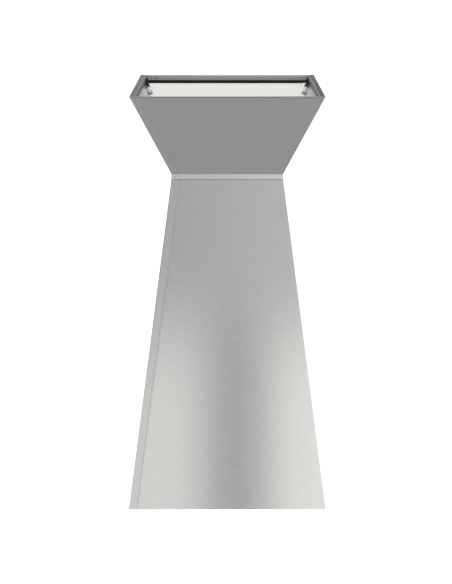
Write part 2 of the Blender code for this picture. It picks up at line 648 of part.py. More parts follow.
def make_lamps():
    """Four LED downlights: a cup through the plate with a trim ring under it, and a lens in the ring."""
    trim = PLATE_BOTTOM_Z - GAP
    cup_radius = LAMP_HOLE_RADIUS - 0.0006
    top = PLATE_Z + 0.024
    cup = [(0, top), (cup_radius - 0.003, top), (cup_radius, top - 0.003), (cup_radius, trim), (0.0295, trim)]
    cup += [(0.0295, trim - 0.0014), (0.0285, trim - 0.002), (LAMP_LENS_RADIUS + GAP, trim - 0.002)]
    cup += [(LAMP_LENS_RADIUS + GAP, top - 0.0042), (0, top - 0.0042)]
    lens = [(0, trim), (LAMP_LENS_RADIUS, trim), (LAMP_LENS_RADIUS, trim - 0.0018), (0, trim - 0.0018)]
    for row, y in (("front", -LAMP_OFFSET), ("back", LAMP_OFFSET)):
        for side, x in (("left", -LAMP_OFFSET), ("right", LAMP_OFFSET)):
            turned(f"lamp_cup_{row}_{side}", [cup], "stainless_sheet", steps=32, location=(x, y, 0))
            turned(f"lamp_lens_{row}_{side}", [lens], "frosted_lens", steps=32, location=(x, y, 0))


def make_controls():
    """Glass strip with four push buttons, and the switch box over them on top of the plate."""
    thickness = 0.0035
    face_z = PLATE_BOTTOM_Z - GAP
    middles = [(i - 1.5) * BUTTON_PITCH for i in range(len(BUTTON_NAMES))]
    loops = [rectangle(3 * BUTTON_PITCH + 0.055, 0.030)]
    loops += [circle(BUTTON_RADIUS + 0.0008, (x, 0), 24) for x in middles]
    place = {"location": (0, CONTROL_Y, face_z - thickness / 2)}
    plate("control_strip", loops, thickness, "control_glass", **place)
    cap_z = face_z - thickness - 0.0018
    profile = [(0, BUTTON_LENGTH), (0.0076, BUTTON_LENGTH), (BUTTON_RADIUS, BUTTON_LENGTH - 0.0004)]
    profile += [(BUTTON_RADIUS, 0.0006), (0.0074, 0), (0, 0)]
    for name, x in zip(BUTTON_NAMES, middles):
        turned(name, [profile], "button_steel", steps=24, location=(x, CONTROL_Y, cap_z))
    half_x = 1.5 * BUTTON_PITCH + 0.0275
    half_y = 0.0225
    wall = 0.002
    seat = PLATE_Z + GAP
    low = Vector((-half_x, CONTROL_Y - half_y, seat))
    high = Vector((half_x, CONTROL_Y + half_y, seat + 0.030))
    box = boxes("switch_box", [(low, high)], "box_plastic")
    hollow = [(low + Vector((wall, wall, -0.01)), high - Vector((wall, wall, wall)))]
    boolean(box, boxes("switch_box_hollow", hollow, "box_plastic"), "DIFFERENCE")


def main():
    clear_scene()
    make_materials()
    make_body()
    make_rim()
    make_hangers()
    make_frame()
    make_duct()
    make_blower()
    make_wiring()
    make_underside()
    make_filters()
    make_lamps()
    make_controls()


main()
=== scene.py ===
"""Looks of an island range hood that hangs from a ceiling: brushed stainless body sheets, rim and hangers,
duct and damper, blower, filter plate, lamps and push buttons.

Every length is in metres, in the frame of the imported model. The origin is the middle of the ceiling plane, +Z
is up, and the front is -Y.
"""

import json
import logging
import math
from collections.abc import Sequence
from dataclasses import dataclass
from enum import Enum

import bmesh
import bpy
import numpy as np
from mathutils import Euler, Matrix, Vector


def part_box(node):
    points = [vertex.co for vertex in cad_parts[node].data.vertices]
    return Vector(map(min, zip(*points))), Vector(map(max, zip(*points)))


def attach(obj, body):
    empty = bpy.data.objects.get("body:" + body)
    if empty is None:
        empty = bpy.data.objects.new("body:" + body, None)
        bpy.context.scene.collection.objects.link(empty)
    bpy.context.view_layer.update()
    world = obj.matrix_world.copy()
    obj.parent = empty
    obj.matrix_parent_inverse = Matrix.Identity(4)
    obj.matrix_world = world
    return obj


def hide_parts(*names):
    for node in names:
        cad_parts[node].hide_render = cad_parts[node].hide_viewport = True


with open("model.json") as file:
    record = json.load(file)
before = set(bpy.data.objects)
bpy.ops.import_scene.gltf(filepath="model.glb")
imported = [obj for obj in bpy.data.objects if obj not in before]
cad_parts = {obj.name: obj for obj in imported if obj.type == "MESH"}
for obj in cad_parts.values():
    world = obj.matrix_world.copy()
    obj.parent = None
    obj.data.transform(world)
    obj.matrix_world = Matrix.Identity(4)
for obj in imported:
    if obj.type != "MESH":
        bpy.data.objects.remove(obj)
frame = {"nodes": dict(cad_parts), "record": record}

LOG = logging.getLogger("range_hood")
HOOD = "hood"
MM = 0.001
MERGE_DISTANCE = 0.002 * MM
SEAT_GAP = 0.1 * MM
CORNERS = ("front_left", "front_right", "back_left", "back_right")

Array = np.ndarray
Node = bpy.types.ShaderNode
Socket = bpy.types.NodeSocket
Tree = bpy.types.ShaderNodeTree
Stops = Sequence[tuple[float, Sequence[float]]]
Material = bpy.types.Material
Object = bpy.types.Object


class Side(Enum):
    """A side of the hood seen from the front; the value is the sign of x."""

    LEFT = -1
    RIGHT = 1

    @property
    def word(self) -> str:
        """The side's name as nodes are named."""
        return self.name.lower()


class Grain(Enum):
    """Which way a brushed surface's lines run. The value is how fast the pattern changes along X, Y and Z."""

    LEVEL_ON_WALLS = (0.03, 0.03, 1.0)
    ALONG_X = (0.03, 1.0, 1.0)


# Shader nodes.

# The part of a noise's range that most of it falls in, for a node that maps it on to another range.
NOISE_MIDDLE = {"From Min": 0.3, "From Max": 0.7}

# The scale at which a ring texture draws one ring to the metre.
ONE_RING = 0.31

# A quarter turn of the anisotropy, which lays a highlight across the brushed lines.
ACROSS_LINES = 0.25


def linear(code: str) -> tuple[float, float, float, float]:
    """Turns an sRGB hex colour to linear light.

    Args:
        code: six hex digits.

    Returns:
        Red, green, blue and an alpha of 1. A channel up to 0.04045 is divided by 12.92, and a larger one is
        ((c + 0.055) / 1.055) to the power 2.4.
    """
    channels = np.array([int(code[i : i + 2], 16) for i in (0, 2, 4)]) / 255.0
    light = np.where(channels <= 0.04045, channels / 12.92, ((channels + 0.055) / 1.055) ** 2.4)
    return (*map(float, light), 1.0)


def add_node(
    tree: Tree,
    kind: str,
    inputs: dict | None = None,
    stops: Stops = (),
    **settings: object,
) -> Node:
    """Adds one node with its settings and links.

    Args:
        tree: the node tree it goes into.
        kind: the node's type name.
        inputs: socket names or numbers, each with a value or the output socket that feeds it.
        stops: a colour ramp's (position, linear colour) pairs in order.
        **settings: the node's own properties.

    Returns:
        The new node.
    """
    node = tree.nodes.new(kind)
    for name, value in settings.items():
        setattr(node, name, value)
    for key, value in (inputs or {}).items():
        if isinstance(value, Socket):
            tree.links.new(value, node.inputs[key])
        else:
            node.inputs[key].default_value = value
    for number, (position, colour) in enumerate(stops):
        elements = node.color_ramp.elements
        element = elements[number] if number < len(elements) else elements.new(position)
        element.position = position
        element.color = colour
    return node


def new_material(name: str) -> tuple[Material, Tree]:
    """Makes an empty node material.

    Args:
        name: the real material and how its surface was made.

    Returns:
        The material and its tree.
    """
    material = bpy.data.materials.new(name)
    material.use_nodes = True
    material.node_tree.nodes.clear()
    return material, material.node_tree


def object_pattern(tree: Tree, scale: Sequence[float]) -> Socket:
    """Object coordinates scaled for a pattern.

    Args:
        tree: the material's tree.
        scale: cycles per metre along X, Y and Z.

    Returns:
        The vector output.
    """
    place = add_node(tree, "ShaderNodeTexCoord").outputs["Object"]
    return add_node(tree, "ShaderNodeMapping", {"Vector": place, "Scale": tuple(scale)}).outputs["Vector"]


def finish_shader(
    tree: Tree,
    tone: tuple[Socket, Stops],
    rough: tuple[Socket, float, float],
    height: tuple[Socket, float],
    inputs: dict,
) -> None:
    """Adds the shader and the output, with an uneven colour and roughness and a relief.

    Args:
        tree: the material's tree.
        tone: what picks the colour, and the colours.
        rough: the noise that the roughness follows, and the lowest and highest roughness.
        height: height of the relief, from 0 to 1, and its full range in metres.
        inputs: values for the shader's other sockets.
    """
    colour = add_node(tree, "ShaderNodeValToRGB", {"Fac": tone[0]}, tone[1]).outputs["Color"]
    mapped = {"Value": rough[0], **NOISE_MIDDLE, "To Min": rough[1], "To Max": rough[2]}
    roughness = add_node(tree, "ShaderNodeMapRange", mapped).outputs["Result"]
    bump = add_node(tree, "ShaderNodeBump", {"Height": height[0], "Distance": height[1], "Strength": 1.0})
    normal = bump.outputs["Normal"]
    inputs = inputs | {"Base Color": colour, "Roughness": roughness, "Normal": normal}
    shader = add_node(tree, "ShaderNodeBsdfPrincipled", inputs)
    add_node(tree, "ShaderNodeOutputMaterial", {"Surface": shader.outputs["BSDF"]})


# Finishes.


@dataclass(frozen=True)
class BrushedStainless:
    """Grade 304 stainless sheet, dry-brushed with a 180-grit belt. The brushing leaves fine parallel lines,
    which draw a reflection out across them and leave it sharper along them.

    The real lines are about 0.1 mm apart. They are drawn 4 mm apart, with finer ones between, so that they
    show.
    """

    name: str = "stainless_304_brushed"
    grain: Grain = Grain.LEVEL_ON_WALLS
    dark: str = "C4C3C2"
    light: str = "D0CFCE"
    roughness: float = 0.13
    roughness_share: float = 0.12
    stretch: float = 0.20
    line_spacing: float = 4.0 * MM
    relief: float = 0.006 * MM
    cross: tuple[float, float, float] = (1.0, 1.0, 0.06)
    cross_share: float = 0.5

    def make(self) -> Material:
        """Builds the material: line noise for tone and roughness, with a coarser set of short marks the other
        way.

        Returns:
            The material.
        """
        material, tree = new_material(self.name)
        lines_at = object_pattern(tree, [way / self.line_spacing for way in self.grain.value])
        lines = add_node(tree, "ShaderNodeTexNoise", {"Vector": lines_at, "Detail": 3.0}).outputs["Fac"]
        cross_at = object_pattern(tree, [way / self.line_spacing for way in self.cross])
        cross = add_node(tree, "ShaderNodeTexNoise", {"Vector": cross_at, "Detail": 2.0}).outputs["Fac"]
        both = {"Factor": self.cross_share, "A": lines, "B": cross}
        mixed = add_node(tree, "ShaderNodeMix", both).outputs["Result"]
        tone = (mixed, ((0.35, linear(self.dark)), (0.65, linear(self.light))))
        change = self.roughness * self.roughness_share
        rough = (mixed, self.roughness - change, self.roughness + change)
        inputs = {"Metallic": 1.0, "Anisotropic": self.stretch, "Anisotropic Rotation": ACROSS_LINES}
        finish_shader(tree, tone, rough, (lines, self.relief), inputs)
        return material


@dataclass(frozen=True)
class Spangled:
    """Hot-dip galvanised sheet. The zinc freezes in flat crystals about 8 mm across, each with its own
    grey."""

    name: str = "galvanised_steel_hot_dipped"
    colours: tuple[str, str, str] = ("A3A8AA", "B4B8BA", "C6CACB")
    rough_range: tuple[float, float] = (0.40, 0.58)
    crystal: float = 8 * MM
    relief: float = 0.04 * MM

    def make(self) -> Material:
        """Builds the material: cells of even tone from the crystal size, over a fine mottle.

        Returns:
            The material.
        """
        material, tree = new_material(self.name)
        at = object_pattern(tree, [1 / self.crystal] * 3)
        cells = add_node(tree, "ShaderNodeTexVoronoi", {"Vector": at, "Scale": 1.0, "Randomness": 0.95})
        tone = add_node(tree, "ShaderNodeSeparateColor", {"Color": cells.outputs["Color"]}).outputs["Red"]
        fine = {"Vector": at, "Scale": 3.0, "Detail": 3.0}
        mottle = add_node(tree, "ShaderNodeTexNoise", fine).outputs["Fac"]
        stops = [(position, linear(code)) for position, code in zip((0.0, 0.5, 1.0), self.colours)]
        rough = (mottle, *self.rough_range)
        finish_shader(tree, (tone, stops), rough, (mottle, self.relief), {"Metallic": 1.0})
        return material


@dataclass(frozen=True)
class Mottled:
    """A surface of one material with an even mottle: tone, roughness and a fine relief of one grain size."""

    name: str
    dark: str
    light: str
    rough_low: float
    rough_high: float
    grain: float
    relief: float = 0.02 * MM
    metallic: float = 0.0
    coat: float = 0.0

    def make(self) -> Material:
        """Builds the material: one noise, of the grain's size, drives tone, roughness and relief.

        Returns:
            The material.
        """
        material, tree = new_material(self.name)
        at = object_pattern(tree, [1 / self.grain] * 3)
        grains = {"Vector": at, "Scale": 1.0, "Detail": 4.0}
        noise = add_node(tree, "ShaderNodeTexNoise", grains).outputs["Fac"]
        tone = (noise, ((0.3, linear(self.dark)), (0.7, linear(self.light))))
        rough = (noise, self.rough_low, self.rough_high)
        inputs = {"Metallic": self.metallic, "Coat Weight": self.coat}
        finish_shader(tree, tone, rough, (noise, self.relief), inputs)
        return material


@dataclass(frozen=True)
class FrostedLens:
    """Opal polycarbonate, moulded with a frosted face. It passes light but blurs what is behind it."""

    name: str = "opal_polycarbonate_moulded"
    dark: str = "C9C7C0"
    light: str = "D8D6CF"
    rough_range: tuple[float, float] = (0.35, 0.5)
    grain: float = 0.4 * MM
    relief: float = 0.02 * MM
    scatter_share: float = 0.3
    scatter_depth: float = 4 * MM

    def make(self) -> Material:
        """Builds the material: a white body with scattering, under a fine frosting.

        Returns:
            The material.
        """
        material, tree = new_material(self.name)
        at = object_pattern(tree, [1 / self.grain] * 3)
        frost = add_node(tree, "ShaderNodeTexNoise", {"Vector": at}).outputs["Fac"]
        tone = (frost, ((0.3, linear(self.dark)), (0.7, linear(self.light))))
        inputs = {"Subsurface Weight": self.scatter_share, "Subsurface Scale": self.scatter_depth}
        finish_shader(tree, tone, (frost, *self.rough_range), (frost, self.relief), inputs)
        return material


@dataclass(frozen=True)
class TurnedSteel:
    """Stainless bar turned on a lathe. The tool leaves rings about its axis, drawn 0.4 mm apart."""

    name: str
    centre: tuple[float, float, float]
    dark: str = "BCBBB8"
    light: str = "D2D1CE"
    rough_range: tuple[float, float] = (0.24, 0.36)
    spacing: float = 0.4 * MM
    relief: float = 0.01 * MM

    def make(self) -> Material:
        """Builds the material: rings of tone by distance from the axis, which stands along Z.

        Returns:
            The material.
        """
        material, tree = new_material(self.name)
        place = add_node(tree, "ShaderNodeTexCoord").outputs["Object"]
        back = tuple(-x for x in self.centre)
        at = add_node(tree, "ShaderNodeMapping", {"Vector": place, "Location": back}).outputs["Vector"]
        settings = {"wave_type": "RINGS", "rings_direction": "Z"}
        waves = {"Vector": at, "Scale": ONE_RING / self.spacing, "Distortion": 0.6, "Detail": 2.0}
        rings = add_node(tree, "ShaderNodeTexWave", waves, **settings).outputs["Fac"]
        tone = (rings, ((0.0, linear(self.dark)), (1.0, linear(self.light))))
        finish_shader(tree, tone, (rings, *self.rough_range), (rings, self.relief), {"Metallic": 1.0})
        return material


@dataclass
class Finishes:
    """Every finish, made once, under its slot's name in the record."""

    def __post_init__(self) -> None:
        """Makes the materials: each line's comment says what the real surface gives the eye."""
        # Fine level lines: a reflection drawn out up and down, and sharper from side to side.
        self.sheet = BrushedStainless().make()
        # The return flanges are worked more in folding, so that their sheen is softer.
        self.flange = BrushedStainless(name="stainless_304_brushed_flange", roughness=0.22).make()
        # A satin belt finish on the collar: no clear reflection.
        self.band = BrushedStainless(
            name="stainless_304_satin_band",
            dark="C5C4C3",
            light="CECDCC",
            roughness=0.42,
        ).make()
        # The sheets' inner faces as they leave the mill: dull and without direction.
        self.mill = BrushedStainless(name="stainless_304_mill_2b", roughness=0.3, stretch=0.0).make()
        # Flat parts are brushed along X.
        self.plate = BrushedStainless(
            name="stainless_304_brushed_plate",
            grain=Grain.ALONG_X,
            roughness=0.2,
        ).make()
        self.galvanised = Spangled().make()
        # Black oxide: a near black with a dull metal sheen.
        oxide = Mottled("steel_black_oxide", "1B1B1C", "2C2C2D", 0.38, 0.5, 3 * MM, metallic=1.0)
        self.blackened = oxide.make()
        # Bright zinc: pale and a little cool, with soft highlights.
        self.zinc = Mottled("steel_bright_zinc", "B0B2B3", "CBCDCE", 0.24, 0.36, 4 * MM, metallic=1.0).make()
        # Rolled aluminium: paler than steel, and clouded.
        rolled = Mottled("aluminium_mill_finish", "C2C2C0", "D6D6D4", 0.28, 0.42, 6 * MM, metallic=1.0)
        self.aluminium = rolled.make()
        # Sprayed enamel: a slight orange peel.
        enamel = Mottled("motor_enamel_sprayed", "1C1D20", "27282B", 0.42, 0.55, 1.2 * MM, 0.05 * MM)
        self.motor = enamel.make()
        # Moulded plastics: an even, fine texture with a broad dull highlight.
        self.wheel = Mottled("polypropylene_moulded", "161616", "202021", 0.48, 0.62, 0.8 * MM).make()
        self.nylon = Mottled("nylon_66_moulded", "0F0F10", "18181A", 0.38, 0.5, 0.9 * MM).make()
        self.lens = FrostedLens().make()
        # Glass printed black on its back: a mirror-like face over a flat black.
        glass = Mottled("glass_back_printed", "050506", "08080A", 0.05, 0.08, 9 * MM, 0.0, coat=0.6)
        self.glass = glass.make()
        self.box = Mottled("abs_moulded_grey", "BDBDB8", "C8C8C3", 0.45, 0.6, 0.7 * MM, 0.03 * MM).make()
        # Rubber, print and a near-black strip under the rim's lip: all matt. The black strip is painted shade,
        # standing for the shadow in the gap under the lip, with a coarse relief.
        self.gasket = Mottled("epdm_gasket_grey", "6F6E6C", "7B7A78", 0.75, 0.85, 1.0 * MM, 0.1 * MM).make()
        self.shade_black = Mottled("black_strip_painted_shade", "0B0A09", "15120F", 0.85, 0.95, 1.0 * MM, 0.3 * MM).make()
        self.ink = Mottled("screen_print_white", "D9D9D6", "E2E2DF", 0.5, 0.6, 0.6 * MM).make()
        self.by_slot = {
            "stainless_sheet": self.sheet,
            "blackened_steel": self.blackened,
            "zinc_plated_steel": self.zinc,
            "galvanised_steel": self.galvanised,
            "aluminium": self.aluminium,
            "motor_paint": self.motor,
            "wheel_plastic": self.wheel,
            "nylon": self.nylon,
            "frosted_lens": self.lens,
            "control_glass": self.glass,
            "box_plastic": self.box,
            "button_steel": self.zinc,
        }

    def dress(self, node: str, material: Material) -> None:
        """Gives a CAD node a finish, in place of its plain one.

        Args:
            node: the node's name.
            material: its finish.
        """
        slots = frame["nodes"][node].data.materials
        slots.clear()
        slots.append(material)

    def dress_frame(self) -> None:
        """Gives every CAD node the finish of its slot in the record."""
        for row in frame["record"]["subparts"]:
            self.dress(row["node"], self.by_slot[row["material_slot"]])
        for node in ("underside_plate", "plate_ledge", "rim_frame"):
            self.dress(node, self.plate)
        for corner in CORNERS:
            self.dress(f"hanger_strap_{corner}", self.zinc)


# Surfaces. A patch is a grid of points; pieces are made of patches.


@dataclass
class Patch:
    """A grid of points, rows by columns. A closed direction joins its last line to its first."""

    points: Array
    close_rows: bool = False
    close_cols: bool = False
    slot: int = 0

    def faces(self, first: int) -> Array:
        """Corner numbers of each square, the four neighbours at (r, c), (r+1, c), (r+1, c+1) and (r, c+1).

        Args:
            first: the number of the patch's first point in the mesh.

        Returns:
            An array of four columns.
        """
        rows, cols = self.points.shape[:2]
        r = np.arange(rows if self.close_rows else rows - 1)[:, None]
        c = np.arange(cols if self.close_cols else cols - 1)[None, :]
        right, down = (c + 1) % cols, (r + 1) % rows
        corners = (r * cols + c, down * cols + c, down * cols + right, r * cols + right)
        squares = np.stack([np.broadcast_to(x, (r.size, c.size)) for x in corners], axis=-1)
        return squares.reshape(-1, 4) + first


@dataclass
class Basis:
    """A place to build at: an origin and three axes, one to a row."""

    origin: Array
    axes: Array

    def put(self, points: Array) -> Array:
        """Points given along the axes, moved to the frame: origin plus points times axes."""
        return self.origin + points @ self.axes


def upright(
    origin: Sequence[float],
    way: Sequence[float] = (0, 0, 1),
    ahead: Sequence[float] = (1, 0, 0),
) -> Basis:
    """A place whose third axis points a given way.

    Args:
        origin: where it is.
        way: the third axis.
        ahead: roughly the first axis; what it has along way is taken off.

    Returns:
        The basis.
    """
    third = np.array(way, float) / np.linalg.norm(way)
    start = np.array(ahead, float)
    start -= third * (start @ third)
    start /= np.linalg.norm(start)
    return Basis(np.array(origin, float), np.stack([start, np.cross(third, start), third]))


def quarter_turned(points: Array, quarters: int) -> Array:
    """Points turned about the Z axis by whole quarter turns, from X towards Y.

    Args:
        points: three columns.
        quarters: how many quarter turns, 0 to 3.

    Returns:
        The points: (c x - s y, s x + c y, z), c and s being the turn's cosine and sine.
    """
    c, s = ((1, 0), (0, 1), (-1, 0), (0, -1))[quarters]
    return points @ np.array([[c, s, 0], [-s, c, 0], [0, 0, 1]], float)


def capped(rows: Array) -> Array:
    """Rows of points with one more at each end, all of it at the end row's middle, which closes the surface.

    Args:
        rows: a grid of points, rows by columns.

    Returns:
        The grid with its two caps.
    """
    first, last = (np.broadcast_to(rows[i].mean(axis=0), rows[i].shape)[None] for i in (0, -1))
    return np.concatenate([first, rows, last])


def make_piece(
    name: str,
    patches: Sequence[Patch],
    materials: Sequence[Material],
    body: str = HOOD,
    stands_for: Sequence[str] = (),
    wall: float = 0.0,
    bevel: float = 0.0,
    angle: float = 32.0,
    inside: Material | None = None,
) -> Object:
    """Makes one piece from patches.

    Args:
        name: the piece's name.
        patches: its surfaces.
        materials: one for each slot number that the patches use.
        body: the body that it rides on.
        stands_for: CAD nodes that it replaces.
        wall: sheet thickness, laid inwards from an open surface; 0 for a closed one.
        bevel: radius of worked edges; 0 for none.
        angle: edges sharper than this many degrees stay sharp.
        inside: finish of a sheet's inner face, if it differs.

    Returns:
        The object.
    """
    starts = np.cumsum([0] + [p.points.shape[0] * p.points.shape[1] for p in patches])
    points = np.concatenate([p.points.reshape(-1, 3) for p in patches])
    faces = [p.faces(int(first)) for p, first in zip(patches, starts)]
    mesh = bpy.data.meshes.new(name)
    mesh.from_pydata(points.tolist(), [], np.concatenate(faces).tolist())
    slots = np.repeat([p.slot for p in patches], [len(f) for f in faces])
    mesh.polygons.foreach_set("material_index", slots.astype(np.int32))
    shape = bmesh.new()
    shape.from_mesh(mesh)
    bmesh.ops.remove_doubles(shape, verts=shape.verts, dist=MERGE_DISTANCE)
    bmesh.ops.dissolve_degenerate(shape, edges=shape.edges, dist=MERGE_DISTANCE / 2)
    if not wall:
        bmesh.ops.recalc_face_normals(shape, faces=shape.faces)
    rim = [edge.is_boundary for edge in shape.edges]
    shape.to_mesh(mesh)
    shape.free()
    for material in [*materials, *([inside] * len(materials) if inside else [])]:
        mesh.materials.append(material)
    mesh.shade_smooth()
    mesh.set_sharp_from_angle(angle=math.radians(angle))
    for edge, outer in zip(mesh.edges, rim):
        edge.use_edge_sharp = edge.use_edge_sharp or outer
    piece = bpy.data.objects.new(name, mesh)
    bpy.context.scene.collection.objects.link(piece)
    if wall:
        sheet = piece.modifiers.new("sheet", "SOLIDIFY")
        sheet.thickness = wall
        sheet.offset = -1.0
        sheet.use_even_offset = True
        sheet.use_quality_normals = True
        sheet.material_offset = len(materials) if inside else 0
    if bevel:
        edge = piece.modifiers.new("worked_edge", "BEVEL")
        edge.width = bevel
        edge.segments = 2
        edge.limit_method = "ANGLE"
        edge.angle_limit = math.radians(angle)
        edge.harden_normals = False
    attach(piece, body)
    if stands_for:
        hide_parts(*stands_for)
    LOG.info("%s: %d faces, on %s", name, len(mesh.polygons), body)
    return piece


def turned(place: Basis, profile: Sequence[Sequence[float]], steps: int = 48, close: bool = False) -> Patch:
    """A surface turned about the place's third axis: (r cos a, r sin a, z), for each (r, z) and each angle a.
    A third number k is how far the section goes from round, 0, to hexagonal, 1: r is times 1 + k (h / m - 1),
    where h is cos 30 / cos(a mod 60 - 30) in degrees and m is h's mean.

    Args:
        place: where it stands.
        profile: rows of (radius, height) or (radius, height, k).
        steps: how many angles.
        close: True if the profile's last row joins its first, as round a ring.

    Returns:
        The patch.
    """
    rows = np.array([(*row, 0.0)[:3] for row in profile], float)
    a = np.arange(steps) * 2 * np.pi / steps
    sixth = np.mod(a, np.pi / 3) - np.pi / 6
    hexagon = math.cos(math.pi / 6) / np.cos(sixth)
    radius = rows[:, :1] * (1 + rows[:, 2:3] * (hexagon / hexagon.mean() - 1))
    height = np.broadcast_to(rows[:, 1:2], radius.shape)
    points = np.stack([radius * np.cos(a), radius * np.sin(a), height], axis=-1)
    return Patch(place.put(points), close_rows=close, close_cols=True)


def rounded_rectangle(half_x: float, half_y: float, radius: float, steps: int = 5) -> Array:
    """The outline of a rectangle with round corners, anticlockwise: each corner's centre plus radius times
    (cos a, sin a) over its quarter turn.

    Args:
        half_x: half the width.
        half_y: half the depth.
        radius: of the corners.
        steps: points on each corner.

    Returns:
        The points, two columns.
    """
    quarter = np.linspace(0, np.pi / 2, steps)
    a = (quarter[None, :] + np.arange(4)[:, None] * np.pi / 2).ravel()
    sign = np.repeat([[1, 1], [-1, 1], [-1, -1], [1, -1]], steps, axis=0)
    centres = sign * (half_x - radius, half_y - radius)
    return centres + radius * np.stack([np.cos(a), np.sin(a)], axis=1)


def block(place: Basis, half_x: float, half_y: float, height: float, radius: float, edge: float) -> Patch:
    """A block with round corners and eased edges: the outline at four heights, drawn in by edge at top and
    bottom and closed on to the middle.

    Args:
        place: the middle of its foot, with its height along the third axis.
        half_x: half the width.
        half_y: half the depth.
        height: how tall it is.
        radius: of the upright corners.
        edge: how far the top and bottom edges are eased.

    Returns:
        The patch.
    """
    full = rounded_rectangle(half_x, half_y, radius)
    drawn = rounded_rectangle(half_x - edge, half_y - edge, max(radius - edge, 0.01 * MM))
    rows = [(drawn * 0, 0), (drawn, 0), (full, edge)]
    rows += [(full, height - edge), (drawn, height), (drawn * 0, height)]
    points = np.stack([np.column_stack([xy, np.full(len(xy), z)]) for xy, z in rows])
    return Patch(place.put(points), close_cols=True)


def swept(path: Array, across: Sequence[float], section: Array) -> Patch:
    """A closed section carried along a path: path point plus section u times across plus section v times the
    normal, the normal being across crossed with the path's direction.

    Args:
        path: points, three columns.
        across: the section's first axis.
        section: the section's points, two columns.

    Returns:
        The patch, its ends closed on to their middles.
    """
    ahead = np.roll(path, -1, axis=0) - np.roll(path, 1, axis=0)
    ahead[0], ahead[-1] = path[1] - path[0], path[-1] - path[-2]
    ahead /= np.linalg.norm(ahead, axis=1, keepdims=True)
    side = np.broadcast_to(np.array(across, float), path.shape)
    normal = np.cross(side, ahead)
    normal /= np.linalg.norm(normal, axis=1, keepdims=True)
    rows = path[:, None] + side[:, None] * section[None, :, :1] + normal[:, None] * section[None, :, 1:]
    return Patch(capped(rows), close_cols=True)


def socket_screw(place: Basis, radius: float, height: float) -> list[Patch]:
    """A domed screw head with a hexagonal socket. The socket is part of the same turned surface, whose
    section changes from round at the rim to hexagonal inside.

    Args:
        place: the middle of the seat, with the third axis pointing away from it.
        radius: of the head.
        height: of the head.

    Returns:
        The patches.
    """
    key = radius * 0.42
    dome = [(radius, 0), (radius, height * 0.35), (radius * 0.93, height * 0.7), (radius * 0.72, height)]
    socket = [(key * 1.15, height), (key, height * 0.94, 1), (key, height * 0.4, 1), (0, height * 0.3)]
    return [turned(place, [(0, 0), *dome, *socket], steps=36)]


def hex_bolt(place: Basis, across: float, height: float) -> list[Patch]:
    """A hexagonal bolt head on a round washer: two turned surfaces, the head's section hexagonal.

    Args:
        place: the middle of the seat, with the third axis pointing away from it.
        across: the head's width across its corners.
        height: of the head.

    Returns:
        The patches.
    """
    radius, washer = across / 2, across * 0.62
    flat, ease = 0.0012, 0.0003
    disc = [(0, 0), (washer, 0), (washer, flat * 0.8), (washer - ease, flat), (0, flat)]
    top = flat + height
    hexagon = [(0, flat), (radius, flat, 1), (radius, top - 3 * ease, 1)]
    crown = [(radius * 0.9, top, 0.3), (radius * 0.6, top), (radius * 0.55, top - ease), (0, top - ease)]
    return [turned(place, disc), turned(place, hexagon + crown)]


# Sub-assemblies.


